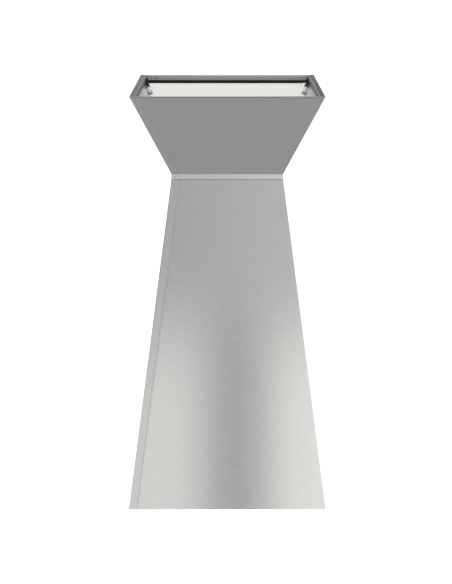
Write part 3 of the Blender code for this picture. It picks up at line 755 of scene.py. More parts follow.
@dataclass
class BodyShell:
    """The flare over the canopy, each of two L-shaped sheets that lap at two corners, with the collar between
    and a dressed weld along each lap."""

    finishes: Finishes
    rim_width: float = 0.554
    waist_width: float = 0.330
    mouth_width: float = 0.600
    height: float = 1.250
    flare_height: float = 0.2404
    collar_height: float = 0.0169
    sheet: float = 0.0012
    bend: float = 0.0016
    return_flange: float = 0.024
    seam_gap: float = 0.0003
    tongue: float = 0.018
    joggle_depth: float = 0.0017
    joggle_run: float = 0.0024
    hold: float = 0.002
    levels: int = 9
    rim_gap: float = 0.0014
    waist_gap: float = 0.0006
    mouth_gap: float = 0.0005
    sharp_bend: float = 60.0
    collar_wall: float = 0.0015
    collar_ease: float = 0.0004
    collar_gap: float = 0.0003
    weld_middle: float = 0.0009
    weld_reach: float = 0.00115
    weld_crown: float = 0.00008
    weld_back: float = 0.0012
    weld_end: float = 0.0005
    flare_fall: float = 0.0010
    canopy_fall: float = 0.00065

    @property
    def collar_foot(self) -> float:
        """Height of the collar's lower edge."""
        return -self.flare_height - self.collar_height

    def half_width(self, z: float) -> float:
        """Half of the body's outer width: even tapers from rim to waist and from waist to mouth.

        Args:
            z: height in the frame.

        Returns:
            The half width.
        """
        if z > -self.flare_height:
            return (self.rim_width + (self.rim_width - self.waist_width) * z / self.flare_height) / 2
        share = max(0.0, (self.collar_foot - z) / (self.height + self.collar_foot))
        return (self.waist_width + (self.mouth_width - self.waist_width) * share) / 2

    def plan(self, half: float) -> Array:
        """Outer face of the front-right sheet at one height: tongue, joggle, front, bend, right side, bend
        and flange. The joggle is half a cosine wave, and each bend a quarter circle. A point close to each
        end of a flat stretch keeps its shading flat.

        Args:
            half: the body's half width there.

        Returns:
            Points in two columns.
        """
        seam = half - self.return_flange
        step = np.linspace(0, 1, 7)
        rise = self.joggle_depth * (1 + np.cos(np.pi * step)) / 2
        joggle = np.column_stack([-seam + self.joggle_run * step, -half + rise])
        a = np.linspace(0, np.pi / 2, 7)
        inner = half - self.bend
        front_bend = np.column_stack([inner + self.bend * np.sin(a), -inner - self.bend * np.cos(a)])
        back_bend = np.column_stack([inner + self.bend * np.cos(a), inner + self.bend * np.sin(a)])
        low = -half + self.joggle_depth
        start = [[-seam - self.tongue, low], [-seam - self.hold, low]]
        front = [[-seam + self.joggle_run + self.hold, -half], [inner - self.hold, -half]]
        side = [[half, -inner + self.hold], [half, inner - self.hold]]
        back = [[inner - self.hold, half], [seam + self.seam_gap, half]]
        return np.concatenate([start, joggle, front, front_bend, side, back_bend, back])

    def sheet_patches(self, top: float, foot: float, quarters: int) -> list[Patch]:
        """One L-shaped sheet: straight lines from the plan at its top to the plan at its foot. Its last strip
        is the flange that laps on to the next face, which has its own finish.

        Args:
            top: height of its top edge.
            foot: height of its lower edge.
            quarters: quarter turns about the Z axis.

        Returns:
            The patches.
        """
        rows = []
        for z in np.linspace(top, foot, self.levels):
            xy = self.plan(self.half_width(float(z)))
            rows.append(np.column_stack([xy, np.full(len(xy), z)]))
        points = quarter_turned(np.stack(rows), quarters)
        return [Patch(points[:, :-2]), Patch(points[:, -3:], slot=1)]

    def build(self) -> None:
        """Makes the four sheets, their welds and the collar."""
        flare = ("upper", -self.sheet - self.rim_gap, -self.flare_height, self.flare_fall)
        canopy = ("lower", self.collar_foot - self.waist_gap, -self.height + self.mouth_gap, self.canopy_fall)
        for section, top, foot, fall in (flare, canopy):
            for corner, quarters in (("front_right", 0), ("back_left", 2)):
                make_piece(
                    f"{section}_{corner}_sheet",
                    self.sheet_patches(top, foot, quarters),
                    (self.finishes.sheet, self.finishes.flange),
                    stands_for=[f"{section}_{corner}_panel"],
                    wall=self.sheet,
                    angle=self.sharp_bend,
                    inside=self.finishes.mill,
                )
            self.build_weld(section, top, foot, fall)
        self.build_collar()

    def build_collar(self) -> None:
        """The band at the waist: an eased flat section carried round a square with round corners."""
        half, wall, ease = self.waist_width / 2, self.collar_wall, self.collar_ease
        top, foot = -self.flare_height - self.collar_gap, self.collar_foot + self.collar_gap
        section = [(wall, top), (ease, top), (0, top - ease), (0, foot + ease), (ease, foot), (wall, foot)]
        rings = []
        for inset, z in section:
            xy = rounded_rectangle(half - inset, half - inset, self.bend + ease - inset, 7)
            rings.append(np.column_stack([xy, np.full(len(xy), z)]))
        band = Patch(np.stack(rings), close_rows=True, close_cols=True)
        make_piece("waist_band", [band], [self.finishes.band], stands_for=["waist_collar"])

    def build_weld(self, section: str, top: float, foot: float, fall: float) -> None:
        """The weld along the two laps of one section, dressed to a round bead. Its depth below the face is a
        parabola of the distance from its middle.

        Args:
            section: upper or lower.
            top: height of the bead's top.
            foot: height of its lower end.
            fall: how far its edges lie below its middle.
        """
        share = np.linspace(-1, 1, 9)
        across = self.weld_middle + self.weld_reach * share
        front = np.column_stack([across, self.weld_crown + fall * share**2])
        loop = np.concatenate([front, [[across[-1], self.weld_back], [across[0], self.weld_back]]])
        rows = []
        for z in np.linspace(top - self.weld_end, foot + self.weld_end, self.levels):
            half = self.half_width(float(z))
            x = self.return_flange - half + loop[:, 0]
            rows.append(np.column_stack([x, loop[:, 1] - half, np.full(len(loop), z)]))
        points = capped(np.stack(rows))
        beads = [Patch(quarter_turned(points, quarters), close_cols=True) for quarters in (0, 2)]
        make_piece(f"corner_weld_{section}", beads, [self.finishes.flange], angle=50)


@dataclass
class CeilingRim:
    """The rim frame: four mitred lengths of angle, the flange flat on the ceiling and the lip turned down
    inside. A near-black strip on the wall under the lip at front and back is painted shade: it stands for the
    shadow in the gap under the lip. A rubber strip lines each side lip."""

    finishes: Finishes
    shell: BodyShell
    flange: float = 0.014
    lip: float = 0.0163
    wall: float = 0.0012
    bend: float = 0.0014
    ease: float = 0.0003
    mitre_gap: float = 0.00015
    gasket_thickness: float = 0.0032
    gasket_half_length: float = 0.2535
    gasket_top: float = -0.0006
    # Size and place of the near-black strip that paints the shade under the lip.
    shade_strip_half_length: float = 0.2545
    shade_strip_top: float = -0.0148
    shade_strip_foot: float = -0.0245
    shade_strip_thickness: float = 0.0031

    def section(self) -> Array:
        """The angle's section: a closed loop round a quarter bend.

        Returns:
            Points in two columns: distance in from the rim's edge, and height.
        """
        a = np.linspace(0, np.pi / 2, 6)
        turn = self.flange - self.bend
        outer = np.column_stack([turn + self.bend * np.sin(a), -self.bend + self.bend * np.cos(a)])
        thin = self.bend - self.wall
        inner = np.column_stack([turn + thin * np.sin(a), -self.bend + thin * np.cos(a)])[::-1]
        hang = self.flange - self.wall
        ends = [[0.0, -self.wall], [0.0, -0.0002], [self.ease, 0.0]]
        foot = [[self.flange, -self.lip + self.ease], [self.flange - self.ease, -self.lip], [hang, -self.lip]]
        return np.concatenate([ends, outer, foot, inner])

    def length(self, side: int) -> Patch:
        """One length along one side: the section drawn from mitre to mitre, each point reaching as far as it
        stands from the rim's middle.

        Args:
            side: which quarter turn about the Z axis.

        Returns:
            The patch, its ends closed on to their middles.
        """
        section = self.section()
        reach = self.shell.rim_width / 2 - section[:, 0]
        rows = []
        for end in (-1, 1):
            along = end * (reach - self.mitre_gap)
            rows.append(np.column_stack([along, -reach, section[:, 1]]))
        return Patch(quarter_turned(capped(np.stack(rows)), side), close_cols=True)

    def build(self) -> None:
        """Makes the rim, its painted shade strips and its gaskets."""
        lengths = [self.length(side) for side in range(4)]
        make_piece("rim_angle", lengths, [self.finishes.plate], stands_for=["rim_frame"])
        # Painted shade under the front and back lips.
        self.build_painted_shade_strip("front", 1)
        self.build_painted_shade_strip("back", -1)
        for side in Side:
            self.build_gasket(side)

    def build_gasket(self, side: Side) -> None:
        """A grey rubber strip on the inner face of a side lip: a rectangle with round corners, carried along
        Y.

        Args:
            side: which lip.
        """
        thick, top = self.gasket_thickness, self.gasket_top
        middle = side.value * (self.shell.rim_width / 2 - self.flange - SEAT_GAP - thick / 2)
        section = rounded_rectangle(thick / 2, (self.lip + top) / 2, thick / 4, 4)
        y = np.linspace(-self.gasket_half_length, self.gasket_half_length, 24)
        path = np.column_stack([0 * y + middle, y, 0 * y + (top - self.lip) / 2])
        strip = swept(path, (1, 0, 0), section)
        make_piece(f"rim_gasket_{side.word}", [strip], [self.finishes.gasket])

    def build_painted_shade_strip(self, word: str, sign: int) -> None:
        """A near-black strip on the wall under the lip, painted shade that stands for the shadow in the gap
        under the lip. Its face is eased and slightly uneven: its thickness is times 1 + 0.06 sin(40 x) along
        its length.

        Args:
            word: front or back.
            sign: 1 for the front, where y is negative, and -1 for the back.
        """
        x = np.linspace(-self.shade_strip_half_length, self.shade_strip_half_length, 90)
        thickness = self.shade_strip_thickness * (1 + 0.06 * np.sin(40 * x))
        lean = (self.shell.rim_width - self.shell.waist_width) / 2 / self.shell.flare_height
        wall = self.shell.sheet / math.cos(math.atan(lean))
        rows = []
        for share, inward in ((0, 0), (0, 0.8), (0.12, 1), (0.88, 1), (1, 0.8), (1, 0)):
            z = self.shade_strip_top + (self.shade_strip_foot - self.shade_strip_top) * share
            y = self.shell.rim_width / 2 + z * lean - wall - SEAT_GAP - thickness * inward
            rows.append(np.column_stack([x, -sign * y, np.full(len(x), z)]))
        strip = Patch(capped(np.stack(rows, axis=1)), close_cols=True)
        # Painted shade: a near-black strip where the wall under the lip lies in shadow.
        make_piece(f"rim_painted_shade_{word}", [strip], [self.finishes.shade_black])


@dataclass
class Hangers:
    """The strap in each rim corner keeps its CAD shape. Its screw gets a domed head with a hexagonal socket,
    and its upper half a black sleeve."""

    finishes: Finishes
    tab_x: float = 0.257
    plane_y: float = 0.2605
    bend_z: float = -0.0225
    drop: float = 0.0286
    strap: float = 0.002
    slope: float = 0.466
    head_radius: float = 0.0050
    head_height: float = 0.0026
    seat_gap: float = 0.0002
    sleeve_top: float = -0.0110
    sleeve_foot: float = -0.0360
    sleeve_half_width: float = 0.0052
    sleeve_half_depth: float = 0.0016
    sleeve_corner: float = 0.0010

    def build(self) -> None:
        """Makes the sleeves and screws. A screw's axis is square to the wall, and a front corner is the back
        corner that lies across the middle, turned half round."""
        lean = math.atan(self.slope)
        for corner in CORNERS:
            turn = 1 if corner.startswith("back") else -1
            side = turn if corner.endswith("right") else -turn
            self.build_sleeve(corner, side, turn)
            eye_x = side * (self.tab_x - self.drop * self.slope)
            eye_y = self.plane_y - self.drop * self.slope
            eye = np.array([eye_x, eye_y, self.bend_z - self.drop]) * (turn, turn, 1)
            way = np.array([0.0, -math.cos(lean), math.sin(lean)]) * (turn, turn, 1)
            seat = eye + way * (self.strap / 2 + self.seat_gap)
            screw = socket_screw(upright(seat, way), self.head_radius, self.head_height)
            node = f"hanger_screw_{corner}"
            name = f"socket_screw_{corner}"
            make_piece(name, screw, [self.finishes.zinc], stands_for=[node])

    def build_sleeve(self, corner: str, side: int, turn: int) -> None:
        """A black sleeve over the strap's upper half: a rounded section carried down the strap, which hangs
        straight to its bend and then leans in along both walls by the slope.

        Args:
            corner: which corner.
            side: sign of x at the back corner that this one matches.
            turn: 1 at the back, and -1 at the front, where the back corner is turned half round.
        """
        z = np.linspace(self.sleeve_top, self.sleeve_foot, 16)
        lean = np.clip(self.bend_z - z, 0, None) * self.slope
        path = np.column_stack([side * (self.tab_x - lean), self.plane_y - lean, z]) * (turn, turn, 1)
        section = rounded_rectangle(self.sleeve_half_width, self.sleeve_half_depth, self.sleeve_corner, 4)
        tube = swept(path, (1, 0, 0), section)
        make_piece(f"hanger_sleeve_{corner}", [tube], [self.finishes.nylon])


@dataclass
class Chassis:
    """Bolts of the inner frame: one in the top of each post, and four in each of the blower's brackets."""

    finishes: Finishes
    post: float = 0.1385
    plate_top: float = -0.110
    bolt: float = 0.011
    head: float = 0.004
    bracket_y: tuple[float, float] = (0.002, 0.033)
    casing_x: float = 0.0895
    casing_z: float = -0.640
    deck_x: float = 0.105
    deck_z: float = -0.5243

    def build(self) -> None:
        """Makes the bolts as one piece for the plate and one for the brackets."""
        plate = []
        for x in (-self.post, self.post):
            for y in (-self.post, self.post):
                plate += hex_bolt(upright((x, y, self.plate_top)), self.bolt, self.head)
        make_piece("hanging_plate_bolts", plate, [self.finishes.zinc])
        brackets = []
        for side in Side:
            for y in self.bracket_y:
                on_casing = (side.value * self.casing_x, y, self.casing_z)
                on_deck = (side.value * self.deck_x, y, self.deck_z)
                beside = upright(on_casing, (side.value, 0, 0), (0, 0, 1))
                brackets += hex_bolt(beside, self.bolt, self.head)
                brackets += hex_bolt(upright(on_deck, (0, 0, -1)), self.bolt, self.head)
        make_piece("bracket_bolts", brackets, [self.finishes.zinc])


@dataclass
class Duct:
    """A spiral-wound duct over the outlet collar, held by a worm-drive clip."""

    finishes: Finishes
    top: float = -0.100
    foot: float = -0.510
    radius: float = 0.0752
    wall: float = 0.0005
    pitch: float = 0.042
    seam_width: float = 0.0045
    seam_height: float = 0.0007
    clip_z: float = -0.476
    clip_inner: float = 0.0761
    clip_outer: float = 0.0769
    clip_half: float = 0.0045
    roll: float = 0.0016
    roll_rise: float = 0.0003
    worm_angle: float = -52.0
    worm_radius: float = 0.0805
    worm_start: float = 0.0070
    housing_radius: float = 0.0772

    def build(self) -> None:
        """Makes the duct and its clip. The duct's seam is a raised cosine across a line that climbs one pitch
        a turn. The distance from the line is the pitch times |frac(z / pitch - a / 360) - 1/2|."""
        z = np.linspace(self.top, self.foot, 330)[:, None]
        a = (np.arange(72) * 2 * np.pi / 72)[None, :]
        turn = np.mod(z / self.pitch - a / (2 * np.pi), 1.0) - 0.5
        near = np.clip(np.abs(turn) * self.pitch / (self.seam_width / 2), 0, 1)
        outer = self.radius + self.seam_height * (1 + np.cos(np.pi * near)) / 2
        walls = (outer, outer - self.wall)
        faces = [np.stack([r * np.cos(a), r * np.sin(a), z + 0 * a], axis=-1) for r in walls]
        duct = Patch(np.concatenate([faces[0], faces[1][::-1]]), close_rows=True, close_cols=True)
        make_piece("spiral_duct", [duct], [self.finishes.aluminium], stands_for=["duct_tube"])
        self.build_clip()

    def build_clip(self) -> None:
        """A band of 9 mm with rolled edges, and the worm's housing with its screw beside it."""
        inner, outer, crest = self.clip_inner, self.clip_outer, self.clip_outer + self.roll_rise
        z, half, roll = self.clip_z, self.clip_half, self.roll
        low, high = z - half, z + half
        loop = [(inner, low), (outer, low), (crest, low + roll / 2), (outer, low + roll)]
        loop += [(outer, high - roll), (crest, high - roll / 2), (outer, high), (inner, high)]
        band = turned(upright((0, 0, 0)), loop, 72, close=True)
        angle = math.radians(self.worm_angle)
        out = np.array([math.cos(angle), math.sin(angle), 0.0])
        along = np.array([-out[1], out[0], 0.0])
        seat = upright(out * self.housing_radius + (0, 0, z), out, (0, 0, 1))
        housing = block(seat, half_x=0.006, half_y=0.0075, height=0.0055, radius=0.0015, edge=0.0005)
        axis = upright(out * self.worm_radius + along * self.worm_start + (0, 0, z), along, out)
        shank, head, tip = 0.0022, 0.0034, 0.0028
        worm = [(0, 0), (shank, 0), (shank, 0.004)]
        worm += [(head, 0.004), (head, 0.0068), (tip, 0.0072), (0, 0.0072)]
        shapes = [band, housing, turned(axis, worm, steps=24)]
        make_piece("duct_clip", shapes, [self.finishes.zinc])


@dataclass
class Blower:
    """Wheel with curved blades, scroll seam, and the motor's run capacitor. The wheel turns about X."""

    finishes: Finishes
    centre: tuple[float, float, float] = (0.0, -0.075, -0.715)
    wheel_radius: float = 0.085
    inner_radius: float = 0.0762
    half_width: float = 0.0755
    blades: int = 40
    start_radius: float = 0.095
    end_radius: float = 0.130
    tongue_y: float = 0.020
    wall: float = 0.0015
    bore: float = 0.0043
    hub: float = 0.012
    disc: float = 0.080
    end_ring: float = 0.003
    ring_inner: float = 0.0760
    sweep: float = 0.13
    blade_half: float = 0.00045
    blade_inset: float = 0.0004
    outlet_z: float = -0.586
    seam_half_width: float = 0.0045
    seam_half_depth: float = 0.0009
    capacitor: tuple[float, float, float] = (0.150, 0.120, -0.5223)
    terminal_reach: float = 0.005

    def build(self) -> None:
        """Makes the wheel, the scroll's seam and the run capacitor."""
        self.build_wheel()
        self.build_seam()
        self.build_capacitor()

    def axis(self) -> Basis:
        """The wheel's own place: its axis along X, with Y and Z across it."""
        return upright(self.centre, (1, 0, 0), (0, 1, 0))

    def build_wheel(self) -> None:
        """A hub and disc, two end rings, and the blades. A blade's section is a thin crescent: at a share t
        across the rim its radius is inner + t (outer - inner), and its angle leads by the sweep times t
        squared. It is a closed loop, about 1 mm thick at its root and 0.5 mm at its tip, and a copy is turned
        on for each blade."""
        place = self.axis()
        bore, hub, disc, step = self.bore, self.hub, self.disc, 0.0012
        loop = [(bore, 0.0035), (hub, 0.0035), (hub + step / 2, step), (disc, 0.001)]
        loop += [(disc, -0.001), (hub + step / 2, -step), (hub, -0.010), (bore, -0.010)]
        patches = [turned(place, loop, 64, close=True)]
        inner, outer = self.ring_inner, self.wheel_radius
        for low in (-self.half_width, self.half_width - self.end_ring):
            high = low + self.end_ring
            ring = [(outer, low), (outer, high), (inner, high), (inner, low)]
            patches.append(turned(place, ring, 72, close=True))
        t = np.linspace(0, 1, 6)
        radius = self.inner_radius + t * (self.wheel_radius - self.blade_inset - self.inner_radius)
        lead = self.sweep * t**2
        thick = self.blade_half * (1.15 - 0.6 * t) / radius
        loop_r = np.concatenate([radius, radius[::-1]])
        loop_a = np.concatenate([lead - thick, (lead + thick)[::-1]])
        start = np.arange(self.blades) * 2 * np.pi / self.blades
        end = self.half_width - self.end_ring / 3
        a = loop_a + start[:, None]
        flat = [loop_r * np.cos(a), loop_r * np.sin(a)]
        blades = np.stack([np.stack([*flat, np.full(a.shape, z)], axis=-1) for z in (-end, end)], axis=1)
        patches += [Patch(place.put(capped(blade)), close_cols=True) for blade in blades]
        make_piece("impeller", patches, [self.finishes.wheel], "wheel", ["blower_wheel"])

    def build_seam(self) -> None:
        """A folded seam over the joint of the casing's halves: a flat bead carried along the scroll's
        outline, whose radius grows in even proportion, r = r0 exp(g (a - a0)), from the tongue round to the
        outlet."""
        offset = self.wall + SEAT_GAP
        first = self.start_radius + offset
        start = math.acos((self.tongue_y - offset) / first)
        growth = math.log((self.end_radius + offset) / first) / (2 * math.pi - start)
        a = np.linspace(start + 0.25, 2 * np.pi, 110)
        r = first * np.exp(growth * (a - start))
        path = np.column_stack([0 * a, r * np.cos(a), r * np.sin(a)]) + self.centre
        z = np.linspace(path[-1, 2] + 0.004, self.outlet_z, 12)
        path = np.concatenate([path, np.column_stack([0 * z, 0 * z + path[-1, 1], z])])
        section = rounded_rectangle(self.seam_half_width, self.seam_half_depth, 0.0008, 4)
        bead = swept(path, (1, 0, 0), section)
        make_piece("scroll_seam", [bead], [self.finishes.galvanised])

    def build_capacitor(self) -> None:
        """The motor's run capacitor under the deck: a drawn can with a rolled rim and two blade terminals."""
        x, y, top = self.capacitor
        rolled_rim = [(0.0172, top), (0.018, top - 0.0015), (0.0172, top - 0.003)]
        can = [(0.0174, top - 0.056), (0.0158, top - 0.0588), (0.013, top - 0.0592)]
        end = [(0.0125, top - 0.0582), (0, top - 0.0582)]
        shapes = [turned(upright((x, y, 0)), [(0, top), *rolled_rim, *can, *end], 48)]
        terminal = {"half_x": 0.0032, "half_y": 0.0005, "height": 0.0052, "radius": 0.0004, "edge": 0.0001}
        for side in Side:
            at = (x + side.value * self.terminal_reach, y, top - 0.0584)
            shapes.append(block(upright(at, (0, 0, -1), (0, 1, 0)), **terminal))
        drawn = [self.finishes.aluminium]
        make_piece("run_capacitor", shapes, drawn, stands_for=["motor_capacitor"])


@dataclass
class Wiring:
    """The gland on the junction box, and the screws of both boxes' lids."""

    finishes: Finishes
    gland_at: tuple[float, float, float] = (0.0, 0.1225, -0.4294)
    gland_bore: float = 0.0045
    junction_screw: tuple[float, float, float] = (0.043, 0.137, -0.4296)
    control_screw: tuple[float, float, float] = (0.086, -0.245, -1.2086)
    head_radius: float = 0.0032
    head_height: float = 0.0020

    def build(self) -> None:
        """Makes the gland, hexagonal at its foot and round above a groove, and the lid screws."""
        bore = self.gland_bore
        foot = [(0.0104, 0, 1), (0.0104, 0.005, 1), (0.0094, 0.0056), (0.0094, 0.0066)]
        cap = [(0.0102, 0.0072), (0.0102, 0.0150), (0.0090, 0.0195), (0.0066, 0.0219)]
        gland = turned(upright(self.gland_at), [(bore, 0), *foot, *cap, (bore, 0.0212)], 48, close=True)
        make_piece("compression_gland", [gland], [self.finishes.nylon], stands_for=["cable_gland"])
        heads = []
        for side in Side:
            for x, y, z in (self.junction_screw, self.control_screw):
                heads += socket_screw(upright((side.value * x, y, z)), self.head_radius, self.head_height)
        make_piece("box_lid_screws", heads, [self.finishes.zinc])


@dataclass
class FilterPlate:
    """Two baffle filters in the underside plate with their sliding latches, and the plate's screws."""

    finishes: Finishes
    foot: float = -1.2405
    width: float = 0.213
    length: float = 0.400
    depth: float = 0.010
    hinge_x: float = 0.2215
    channels: int = 8
    border: float = 0.015
    far_border: float = 0.035
    end_border: float = 0.025
    gate: float = 0.0155
    notch: float = 0.018
    gate_step: float = 0.004
    frame_edge: float = 0.0009
    layer_gap: float = 0.0012
    channel_share: float = 0.34
    channel_bend: float = 0.0018
    channel_wall: float = 0.0007
    channel_flange: float = 0.0036
    tuck: float = 0.001
    latch_gap: float = 0.0006
    latch_height: float = 0.0083
    latch_lip: float = 0.0030
    lip_overlap: float = 0.001
    rib_inset: float = 0.002
    rib_heights: tuple[float, float, float] = (0.0008, 0.0017, 0.0026)
    screw_reach: float = 0.2865
    screw_offset: float = 0.15
    screw_radius: float = 0.0038
    screw_height: float = 0.0022

    def build(self) -> None:
        """Makes both filters, their latches and the screws."""
        for side in Side:
            self.build_frame(side)
            self.build_baffles(side)
            self.build_latch(side)
        self.build_screws()

    def place(self, side: Side, points: Array) -> Array:
        """Points measured from the hinge line, with x towards the centre bar and z up from the filter's face.

        Args:
            side: which filter.
            points: three columns.

        Returns:
            The points in the frame.
        """
        return points * (-side.value, 1, 1) + (side.value * self.hinge_x, 0, self.foot)

    def build_frame(self, side: Side) -> None:
        """A frame with a window: straight walls between an outer outline, notched for the latch, and an inner
        one with as many points, so that each strip of the ring has four corners.

        Args:
            side: which filter.
        """
        w, half, far = self.width, self.length / 2, self.width - self.far_border
        end, deep = half - self.end_border, self.width - self.notch
        gate, near = self.gate, self.gate - self.gate_step
        corner = [(0, -half), (w, -half), (w, -gate), (deep, -gate)]
        window = [(self.border, -end), (far, -end), (far, -gate), (far, -near)]
        mirror = np.array([1, -1])
        outer = np.concatenate([corner, corner[::-1] * mirror])
        inner = np.concatenate([window, window[::-1] * mirror])
        rows = [(outer, 0), (outer, self.depth), (inner, self.depth), (inner, 0)]
        points = np.stack([np.column_stack([xy, np.full(len(xy), z)]) for xy, z in rows])
        ring = Patch(self.place(side, points), close_rows=True, close_cols=True)
        make_piece(
            f"filter_frame_{side.word}",
            [ring],
            [self.finishes.aluminium],
            f"filter_{side.word}",
            [f"grease_filter_{side.word}"],
            bevel=self.frame_edge,
        )

    def build_baffles(self, side: Side) -> None:
        """Two layers of channels that face each other, the upper ones over the gaps of the lower ones. A
        channel's section is a flat floor with a quarter bend to a flange at each edge, as a closed loop.

        Args:
            side: which filter.
        """
        pitch = (self.width - self.border - self.far_border) / self.channels
        lower = self.border + pitch * (np.arange(self.channels) + 0.5)
        upper = np.concatenate([lower - pitch / 2, [lower[-1] + pitch / 2]])
        near, far = self.border - self.tuck, self.width - self.far_border + self.tuck
        end = self.length / 2 - self.end_border + self.tuck
        half = pitch * self.channel_share
        a = np.linspace(0, np.pi / 2, 5)
        bend, wall, flange = self.channel_bend, self.channel_wall, self.channel_flange
        thin = bend - wall
        outside = np.column_stack([half - bend + bend * np.sin(a), bend - bend * np.cos(a)])
        inside = np.column_stack([half - bend + thin * np.sin(a), bend - thin * np.cos(a)])
        right = np.concatenate([outside, [[half, flange], [half - wall, flange]], inside[::-1]])
        loop = np.concatenate([right, right[::-1] * (-1, 1)])
        shapes = []
        for middles, low, turn in ((lower, self.layer_gap, 1.0), (upper, self.depth - self.layer_gap, -1.0)):
            for middle in middles:
                x = np.clip(middle + loop[:, 0], near, far)
                z = low + turn * loop[:, 1]
                rows = np.stack([np.column_stack([x, np.full(len(x), y), z]) for y in (-end, end)])
                shapes.append(Patch(self.place(side, capped(rows)), close_cols=True))
        name = f"filter_baffles_{side.word}"
        make_piece(name, shapes, [self.finishes.plate], f"filter_{side.word}")

    def build_latch(self, side: Side) -> None:
        """The sliding latch: a block in the notch, with a lip to pull and three ribs on the lip's face.

        Args:
            side: which filter.
        """
        low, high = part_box(f"filter_latch_{side.word}")
        middle = (low.x + high.x) / 2
        foot, half_lip = self.foot + self.latch_gap, self.latch_lip / 2
        half_x, half_y = (high.x - low.x) / 2, (high.y - low.y) / 2
        seat = upright((middle, 0, foot))
        slab = block(seat, half_x, half_y, self.latch_height, radius=0.0008, edge=0.0004)
        lip_x = side.value * (abs(middle) + half_x - half_lip)
        lip_height = foot - low.z + self.lip_overlap
        lip = block(upright((lip_x, 0, low.z)), half_lip, half_y, lip_height, radius=0.0007, edge=0.0004)
        shapes = [slab, lip]
        for z in self.rib_heights:
            rib = upright((lip_x - side.value * half_lip, 0, low.z + z), (-side.value, 0, 0), (0, 1, 0))
            long = half_y - self.rib_inset
            shapes.append(block(rib, long, 0.0002, height=0.0004, radius=0.0001, edge=0.0001))
        make_piece(
            f"slide_latch_{side.word}",
            shapes,
            [self.finishes.zinc],
            f"latch_{side.word}",
            [f"filter_latch_{side.word}"],
        )

    def build_screws(self) -> None:
        """Eight socket screws through the plate's border into the ledge."""
        heads = []
        for along in (-self.screw_offset, self.screw_offset):
            for edge in (-self.screw_reach, self.screw_reach):
                for x, y in ((along, edge), (edge, along)):
                    seat = upright((x, y, self.foot - SEAT_GAP), (0, 0, -1))
                    heads += socket_screw(seat, self.screw_radius, self.screw_height)
        make_piece("plate_screws", heads, [self.finishes.zinc])


@dataclass
class Lamps:
    """The lenses of the four downlights, each with rings moulded in its face."""

    finishes: Finishes
    offset: float = 0.245
    trim: float = -1.2408
    lens_radius: float = 0.0240
    lens_edge: float = 0.0008
    lens_drop: float = 0.0014
    ring_pitch: float = 0.0028
    ring_height: float = 0.00012

    def build(self) -> None:
        """Makes the lenses. The rings are a sine wave over the radius."""
        for corner in CORNERS:
            y = self.offset * (-1 if corner.startswith("front") else 1)
            x = self.offset * (-1 if corner.endswith("left") else 1)
            r = np.linspace(0, self.lens_radius - self.lens_edge, 56)
            rings = self.ring_height * (1 + np.sin(r * 2 * np.pi / self.ring_pitch)) / 2
            face = list(zip(r, self.trim - self.lens_drop - rings))
            edge = [(self.lens_radius, self.trim - 0.0012), (self.lens_radius, self.trim), (0, self.trim)]
            lens = turned(upright((x, y, 0)), face + edge, 56)
            name, node = f"ringed_lens_{corner}", f"lamp_lens_{corner}"
            make_piece(name, [lens], [self.finishes.lens], stands_for=[node])


class Mark(Enum):
    """What is printed on a button: plain strokes, each a list of points in units of half the mark's width."""

    POWER = "power"
    LESS = "speed_down"
    MORE = "speed_up"
    LAMP = "lamp"

    def strokes(self) -> list[Array]:
        """The mark's lines: an open ring with a bar, a bar, a cross, or a ring with a foot.

        Returns:
            The lines, each with points in two columns.
        """
        if self is Mark.POWER:
            a = np.linspace(math.radians(125), math.radians(415), 28)
            return [np.column_stack([np.cos(a), np.sin(a)]) * 0.85, np.array([[0, 0.25], [0, 1.05]])]
        if self is Mark.LESS:
            return [np.array([[-0.85, 0], [0.85, 0]])]
        if self is Mark.MORE:
            return [np.array([[-0.85, 0], [0.85, 0]]), np.array([[0, -0.85], [0, 0.85]])]
        a = np.linspace(math.radians(-50), math.radians(230), 28)
        bulb = np.column_stack([0.62 * np.cos(a), 0.62 * np.sin(a) + 0.35])
        return [bulb, np.array([[-0.38, -0.45], [0.38, -0.45]]), np.array([[-0.3, -0.8], [0.3, -0.8]])]


